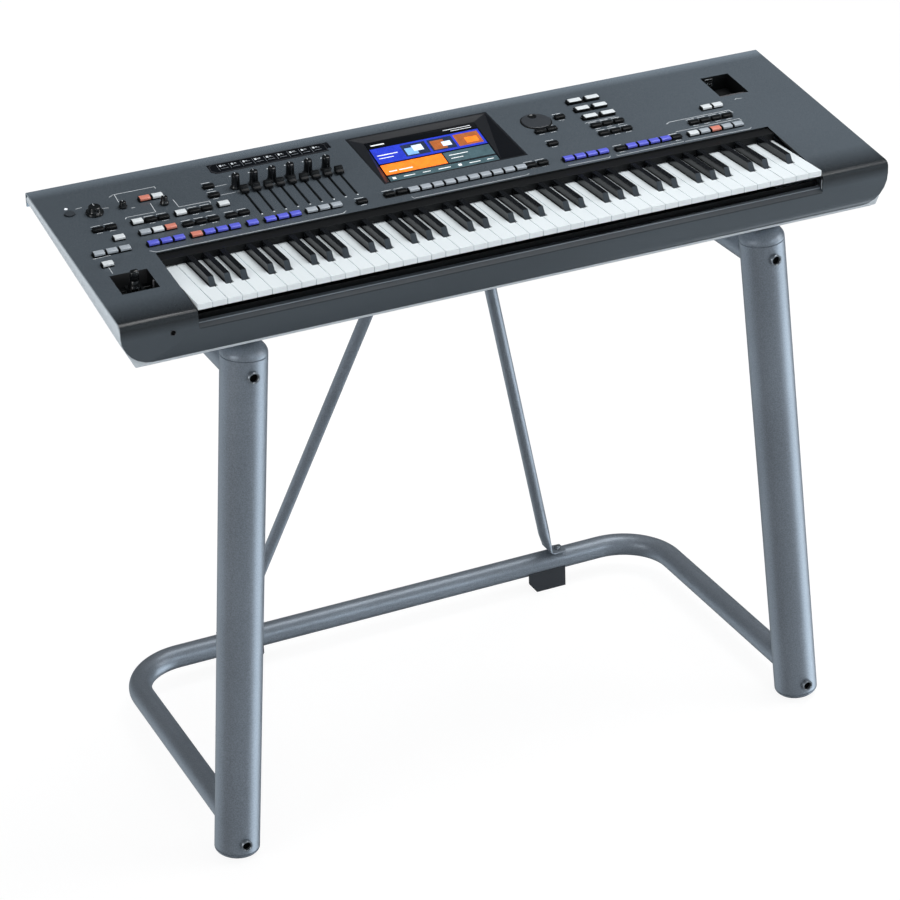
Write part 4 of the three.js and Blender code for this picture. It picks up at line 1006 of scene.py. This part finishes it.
def front_rail():
    end = (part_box("highest_white_keys")[1].x - KEYS.x) / MM
    front, back = PANEL_FACE_Y - CREASE_PROUD, PANEL_FACE_Y + CREASE_DEPTH
    crease = rectangle(front, back, CREASE_Z - CREASE_HEIGHT, CREASE_Z)
    whole = add(bmesh.new(), bar(crease, -end, end))
    top_y, top_z = RAIL_TOP
    fall = (CREASE_Z - top_z) / (PANEL_FACE_Y - top_y)
    edge_y = top_y - RAIL_EDGE_BEFORE
    edge = [(y, top_z + (y - top_y) * fall + lift)
            for y, lift in rectangle(edge_y - RAIL_EDGE, edge_y, -LINE_SUNK, LINE_PROUD)]
    add(whole, bar(edge, -end, end), 1)
    piece("front_rail_lines", place(whole, BESIDE_KEYS), [rail_crease_painted_shade, rail_edge_painted_highlight])


front_rail()

# Two memory ports in the rear wall of the recess, and the pale ramp at its front
PORT_X = (491, 505)
PORT_HEIGHTS = [(-8.5, -3.2), (-16.6, -11.3)]
PORT_WALL = 348.2
PORT_DEPTH = 1.4
PORT_MOUTH = (1.5, 0.9)
PORT_FRAME = 1
RAMP_X = (483.6, 532.4)
RAMP = [(280.8, -0.8), (280.8, -12), (301, -12), (301, -10)]


def ports():
    whole = bmesh.new()
    x0, x1 = PORT_X
    mouth_front, mouth_back = (PORT_WALL - reach for reach in PORT_MOUTH)
    for h0, h1 in PORT_HEIGHTS:
        add(whole, block(x0, x1, PORT_WALL - PORT_DEPTH, PORT_WALL, h0, h1, 0.2))
        add(whole, block(x0 + PORT_FRAME, x1 - PORT_FRAME, mouth_front, mouth_back, h0 + PORT_FRAME,
                         h1 - PORT_FRAME, 0.1), 1)
    add(whole, round_edges(bar(RAMP, *RAMP_X), 0.3), 2)
    piece("memory_ports", place(whole, PANEL), [port_metal, hole_painted_shade, ledge_grey])


ports()

# Power lamp and headphone socket
LAMP = (-579, 336)
LAMP_PROFILE = [(2.6, 0.02), (2.6, 0.3), (2.0, 0.9), (1.2, 1.2), (0.3, 1.3)]
SOCKET_X, SOCKET_Z = -540.8, -33.2
SOCKET_RADIUS = 4.6
SOCKET_LIP = 1.1
SOCKET_HOLE = [(3.4, -0.5), (3.4, 0.25), (0.1, 0.25)]


def small_fittings():
    light = turned(LAMP_PROFILE, SMALL_SIDES)
    piece("power_lamp", place(shift(light, (*LAMP, 0)), PANEL), [lamp_white])
    whole = add(bmesh.new(), tube_ring(SOCKET_RADIUS, SOCKET_RADIUS - SOCKET_LIP, 0.5, 0.9))
    add(whole, turned(SOCKET_HOLE, SMALL_SIDES), 1)
    face = Matrix.Translation(Vector((SOCKET_X, PANEL_FACE_Y, SOCKET_Z))) @ Matrix.Rotation(pi / 2, 4, "X")
    piece("headphone_socket", place(place(whole, face), BESIDE_KEYS), [dial_grey, hole_painted_shade])


small_fittings()

# Stand, in metres. Its pieces lie a skin's depth inside the frame's own tubes.
SKIN = 0.0001
LEG_EDGE, LEG_EDGE_HEIGHT = 0.001, 0.0008
HEAD_HEIGHT, HEAD_LEAD = 0.024, 0.002
FOOT_HEIGHT, FOOT_LEAD = 0.0142, 0.0008
DOME_STEPS = 14
DOME_TIP = 0.02
SEAM_DEPTH = 0.0012
SEAM_HEIGHTS = (-0.003, 0.0006, 0.001)
PAD_PROFILE = [(0.0145, 0), (0.015, 0.001), (0.015, 0.009), (0.0142, 0.0098)]
PAD_SEAT_PROFILE = [(0.0185, 0), (0.0185, 0.0022), (0.0178, 0.003)]
PAD_BELOW_TOP = 0.0099
PAD_BEYOND = 0.04
PAD_SEAT_DROP = Vector((0, 0, 0.0015))
BOLT_HEIGHTS = (-0.132, -0.9005)
BOLT_SUNK = 0.002
BOLT_PROFILE = [
    (0.0092, 0), (0.0092, 0.0074), (0.0085, 0.0084), (0.0070, 0.0084), (0.0064, 0.0076), (0.0062, 0.003),
    (0.0002, 0.003),
]
BOLT_HOLE_PROFILE = [(0.0064, 0.003), (0.0064, 0.0036), (0.0002, 0.0036)]


def stand_piece(name, part, node, *materials):
    piece(name, part, [stand_paint, *materials], replaced=[node])


def unique_points(name):
    return [Vector(p) for p in {tuple(round(c, 5) for c in v.co) for v in frame["nodes"][name].data.vertices}]


def leg_axis(name):
    """The two ends of a leg's axis and its radius, from the frame's own tube."""
    points = unique_points(name)
    middle = sum(p.z for p in points) / len(points)
    upper, lower = [p for p in points if p.z > middle], [p for p in points if p.z < middle]
    foot, top = (sum(half, Vector()) / len(half) for half in (lower, upper))
    along = (top - foot).normalized()
    radius = max(((p - foot) - along * (p - foot).dot(along)).length for p in points)
    return foot, top, radius


def share_down(foot, top, height):
    """How far down a leg's axis a height lies, as a share of it."""
    return (top.z - height) / (top.z - foot.z)


def leg_x(foot, top, height):
    return top.x + (foot.x - top.x) * share_down(foot, top, height)


def dome(radius, height, lead):
    """A cap profile: a plug below a fine seam, a short straight edge, then a quarter round."""
    turns = [pi / 2 * i / DOME_STEPS for i in range(DOME_STEPS)]
    crown = [(radius * cos(a), lead + (height - lead) * sin(a)) for a in turns]
    seam = list(zip((radius - SEAM_DEPTH, radius - SEAM_DEPTH, radius), SEAM_HEIGHTS))
    return seam + crown + [(radius * DOME_TIP, height)]


def leg(side):
    foot, top, radius = leg_axis(f"{side}_leg")
    radius -= SKIN
    length = (top - foot).length
    tube = turned([(radius - LEG_EDGE, 0), (radius, LEG_EDGE_HEIGHT), (radius, length / 2),
                   (radius, length - LEG_EDGE_HEIGHT), (radius - LEG_EDGE, length)])
    stand_piece(f"{side}_leg_tube", place(tube, on_axis(foot, top)), f"{side}_leg")
    head = turned(dome(radius, HEAD_HEIGHT, HEAD_LEAD))
    whole = add(bmesh.new(), place(head, on_axis(top, top + top - foot)))
    pad_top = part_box(f"{side}_leg_cap")[1].z
    pad_foot = Vector((top.x + (top.x - foot.x) * PAD_BEYOND, top.y, pad_top - PAD_BELOW_TOP))
    add(whole, shift(turned(PAD_PROFILE, SMALL_SIDES), pad_foot), 1)
    add(whole, shift(turned(PAD_SEAT_PROFILE, SMALL_SIDES), pad_foot - PAD_SEAT_DROP))
    stand_piece(f"{side}_leg_head", whole, f"{side}_leg_cap", rubber)
    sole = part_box(f"{side}_foot_cap")[0].z
    part = place(turned(dome(radius, FOOT_HEIGHT, FOOT_LEAD)), on_axis(foot, foot + foot - top))
    for vertex in part.verts:
        vertex.co.z = max(vertex.co.z, sole)
    stand_piece(f"{side}_foot", part, f"{side}_foot_cap")


def leg_bolts(side):
    foot, top, radius = leg_axis(f"{side}_leg")
    whole = bmesh.new()
    for below in BOLT_HEIGHTS:
        centre = top.lerp(foot, share_down(foot, top, KEYS.z + below)) + Vector((0, -radius + BOLT_SUNK, 0))
        forward = on_axis(centre, centre - Vector((0, 1, 0)))
        add(whole, place(turned(BOLT_PROFILE, SMALL_SIDES), forward))
        add(whole, place(turned(BOLT_HOLE_PROFILE, SMALL_SIDES), forward), 1)
    piece(f"{side}_leg_bolts", whole, [bolt_metal, hole_painted_shade])


# Braces: a round tube squashed to a tab at each end. Stages: 0 the tab's edge, 1 full tab, 2 full tube.
BRACE_RADIUS = 0.00975
BRACE_SIDES = 32
TAB_HALF_WIDTH = 0.015
TAB_HALF_THICKNESS = 0.0015
TAB_LENGTH = 0.03
TAB_STAGES = [(0.0295, 0), (0.029, 0.6), (0.006, 1)]
TUBE_START = 0.008
SQUASH_SHARES = (0.02, 0.035, 0.05, 0.07)
SHOULDER_SWELL = 0.003
EDGE_WIDTH, EDGE_THICKNESS = 0.8, 0.4
TAB_SQUARENESS = 0.35
SCREW_PROFILE = [
    (0.0062, 0), (0.0062, 0.0012), (0.0052, 0.0016), (0.0048, 0.0048), (0.0040, 0.0054), (0.0004, 0.0054),
]
SCREW_SIDES = 24
SCREW_REACH = 0.018


def brace_end(tip, out, along, length):
    """Points from a tab's edge into the tube, each with its stage."""
    stations = [(tip + out * reach, stage) for reach, stage in TAB_STAGES] + [(tip + along * TUBE_START, 1)]
    for i, share in enumerate(SQUASH_SHARES):
        stations.append((tip + along * (length * share), 1 + (i + 1) / len(SQUASH_SHARES)))
    return stations


def brace_section(stage):
    squash = min(1, max(0, stage - 1))
    flatness = min(1, stage)
    wide = (TAB_HALF_WIDTH * (EDGE_WIDTH + (1 - EDGE_WIDTH) * flatness) + SHOULDER_SWELL * sin(pi * squash)
            + (BRACE_RADIUS - TAB_HALF_WIDTH) * squash)
    thick = (TAB_HALF_THICKNESS * (EDGE_THICKNESS + (1 - EDGE_THICKNESS) * flatness)
             + (BRACE_RADIUS - TAB_HALF_THICKNESS) * squash)
    power = TAB_SQUARENESS + (1 - TAB_SQUARENESS) * squash
    ring = []
    for a in (2 * pi * i / BRACE_SIDES for i in range(BRACE_SIDES)):
        c, s = cos(a), sin(a)
        ring.append((wide * abs(c) ** power * (1 if c > 0 else -1),
                     thick * abs(s) ** power * (1 if s > 0 else -1)))
    return ring


def brace(side, sign):
    name = f"{side}_brace"
    low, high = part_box(name)
    reaches = abs(low.x), abs(high.x)
    foot = Vector((sign * (max(reaches) - TAB_LENGTH), high.y - TAB_HALF_WIDTH, low.z + TAB_HALF_THICKNESS))
    head = Vector((sign * (min(reaches) + TAB_LENGTH), low.y + TAB_HALF_WIDTH, high.z - TAB_HALF_THICKNESS))
    along, length, out = (head - foot).normalized(), (head - foot).length, Vector((sign, 0, 0))
    stations = brace_end(foot, out, along, length) + [((foot + head) / 2, 2)]
    stations += brace_end(head, -out, -along, length)[::-1]
    path = [point for point, _ in stations]
    tube = sweep(path, lambda i: brace_section(stations[i][1]), Vector((0, 1, 0)))
    whole = add(bmesh.new(), tube)
    for centre, way in ((foot + out * SCREW_REACH, 1), (head - out * SCREW_REACH, -1)):
        tip = centre + Vector((0, 0, way * TAB_HALF_THICKNESS))
        screw = turned(SCREW_PROFILE, SCREW_SIDES)
        add(whole, place(screw, on_axis(tip, tip + Vector((0, 0, way)))), 1)
    stand_piece(f"{name}_tube", whole, name, bolt_metal)


# Bent tubes between the legs, and the posts on the upper one
BEND_RADIUS = 0.095
BEND_STEPS = 20
BEND_SIDES = 40
TUBE_IN_LEG = 0.02
POST_FACE = 0.001


def bent_tube(front, half_width, rear, height, radius):
    path = [Vector((-half_width, front, height))]
    for side, start, end in ((-1, 180, 90), (1, 90, 0)):
        bend = arc(side * (half_width - BEND_RADIUS), rear - BEND_RADIUS, BEND_RADIUS, start, end, BEND_STEPS)
        path += [Vector((x, y, height)) for x, y in bend]
    path.append(Vector((half_width, front, height)))
    section = [(x, y) for x, y, _ in circle(radius - SKIN, 0, BEND_SIDES)]
    return add(bmesh.new(), sweep(path, lambda i: section))


def frames():
    foot, top, _ = leg_axis("right_leg")
    low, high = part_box("base_tube")
    tube, height = (high.z - low.z) / 2, (high.z + low.z) / 2
    base = bent_tube(foot.y + TUBE_IN_LEG, leg_x(foot, top, height), high.y - tube, height, tube)
    stand_piece("base_bow", base, "base_tube")
    low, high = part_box("top_frame")
    height = low.z + tube
    whole = bent_tube(top.y + TUBE_IN_LEG, leg_x(foot, top, height), high.y - tube, height, tube)
    post = [p for p in unique_points("top_frame") if p.z > high.z - POST_FACE and p.x > 0]
    x0, x1 = min(p.x for p in post), max(p.x for p in post)
    y0, y1 = min(p.y for p in post), max(p.y for p in post)
    for a, b in ((x0, x1), (-x1, -x0)):
        add(whole, block(a, b, y0, y1, height, high.z, 0.002, 3))
    stand_piece("case_bow", whole, "top_frame")


for side, sign in (("left", -1), ("right", 1)):
    leg(side)
    leg_bolts(side)
    brace(side, sign)
    refined(f"{side}_rear_block", f"{side}_rear_foot", rubber, 1.5, 3)
frames()

# Floor, light and camera
FLOOR_REACH = 14.0
FLOOR_WHITE = (0.86, 0.87, 0.88)
FLOOR_DRIFT = 0.01
FLOOR_DRIFT_SCALE = 1.3
FLOOR_SHADOW_SHARE = 0.16
FLOOR_GLOW = 0.90
AMBIENT = 0.45
WHITE = (1, 1, 1)
MIRRORED_SKY = 0.08
MIRRORED_TINT = (0.84, 0.93, 1.0)
# Soft boxes that only reflections see: direction, cosines where each starts and is full, strength.
MIRRORED_BOXES = [
    ((0.86, -0.27, -0.45), 0.86, 0.97, 4.0),
    ((-0.60, 0.66, -0.45), 0.75, 0.97, 0.9),
    ((0.10, -0.95, 0.05), 0.10, 0.80, 0.36),
    ((0.42, -0.88, 0.22), 0.988, 0.995, 8.0),
]
# Lamps: name, place, aim, width, power, and whether reflections show it.
LAMPS = [
    ("top_light", (1.2, -0.1, 3.8), (0.1, 0, 0.8), 2.2, 66, True),
    ("right_light", (3.6, -1.6, 1.6), (0, -0.1, 0.6), 1.8, 36, True),
    ("left_light", (-3.4, -1.2, 1.5), (-0.3, 0, 0.8), 1.8, 30, True),
    ("back_light", (0.8, 3.8, 1.6), (0, 0, 0.7), 1.8, 26, False),
]


def mix(tree, factor, first, second):
    return node(tree, "ShaderNodeMixShader", factor, first, second).outputs[0]


def reckoned(tree, operation, first, second):
    return node(tree, "ShaderNodeMath", first, second, operation=operation).outputs[0]


def background(tree, colour, strength):
    return node(tree, "ShaderNodeBackground", (*colour, 1), strength).outputs[0]


def stage_floor():
    part = bmesh.new()
    corners = rectangle(-FLOOR_REACH, FLOOR_REACH, -FLOOR_REACH, FLOOR_REACH)
    part.faces.new([part.verts.new((x, y, 0)) for x, y in corners])
    material = bpy.data.materials.new("floor_white")
    material.use_nodes = True
    tree = material.node_tree
    tree.nodes.remove(tree.nodes["Principled BSDF"])
    seen = node(tree, "ShaderNodeLightPath").outputs["Is Camera Ray"]
    where = node(tree, "ShaderNodeTexCoord").outputs["Object"]
    drift = blend(tree, noise(tree, where, FLOOR_DRIFT_SCALE, 2), shaded(FLOOR_WHITE, -FLOOR_DRIFT),
                  shaded(FLOOR_WHITE, FLOOR_DRIFT))
    matt = node(tree, "ShaderNodeBsdfDiffuse", drift).outputs[0]
    light = node(tree, "ShaderNodeEmission", named={"Strength": FLOOR_GLOW / (1 - FLOOR_SHADOW_SHARE)})
    glowing = reckoned(tree, "MULTIPLY", seen, 1 - FLOOR_SHADOW_SHARE)
    feed(tree, tree.nodes["Material Output"], {"Surface": mix(tree, glowing, matt, light.outputs[0])})
    floor = linked("floor", mesh_of("floor", part, [material]))
    floor.visible_glossy = False


def surround():
    """The world: white to the camera, soft boxes to reflections and an even light to everything else."""
    world = bpy.data.worlds.new("surround")
    bpy.context.scene.world = world
    world.use_nodes = True
    tree = world.node_tree
    tree.nodes.remove(tree.nodes["Background"])
    seen = node(tree, "ShaderNodeLightPath").outputs
    where = node(tree, "ShaderNodeTexCoord").outputs["Generated"]
    total = MIRRORED_SKY
    for direction, start, full, strength in MIRRORED_BOXES:
        box = spread(tree, facing(tree, where, Vector(direction).normalized()), 0, strength, start, full)
        total = reckoned(tree, "ADD", box, total)
    either = reckoned(tree, "MAXIMUM", seen["Is Glossy Ray"], seen["Is Transmission Ray"])
    mixed = mix(tree, either, background(tree, WHITE, AMBIENT), background(tree, MIRRORED_TINT, total))
    shown = mix(tree, seen["Is Camera Ray"], mixed, background(tree, WHITE, 1))
    feed(tree, tree.nodes["World Output"], {"Surface": shown})


def lamp(name, at, aim, width, power, mirrored):
    data = bpy.data.lights.new(name, "AREA")
    data.shape = "DISK"
    data.size = width
    data.energy = power
    thing = linked(name, data)
    thing.location = at
    thing.visible_glossy = mirrored
    thing.rotation_euler = (Vector(aim) - Vector(at)).to_track_quat("-Z", "Y").to_euler()


def camera():
    data = bpy.data.cameras.new("photo_view")
    data.sensor_width = 36
    data.lens = CAMERA_LENS
    data.clip_end = CAMERA_CLIP
    thing = linked("photo_view", data)
    thing.matrix_world = Matrix.Translation(CAMERA_PLACE)
    for angle, axis in ((-CAMERA_AZIMUTH, "Z"), (90 - CAMERA_DROP, "X"), (CAMERA_ROLL, "Z")):
        thing.matrix_world = thing.matrix_world @ Matrix.Rotation(radians(angle), 4, axis)
    bpy.context.scene.camera = thing


stage_floor()
surround()
for values in LAMPS:
    lamp(*values)
camera()
bpy.context.scene.view_settings.view_transform = "Standard"
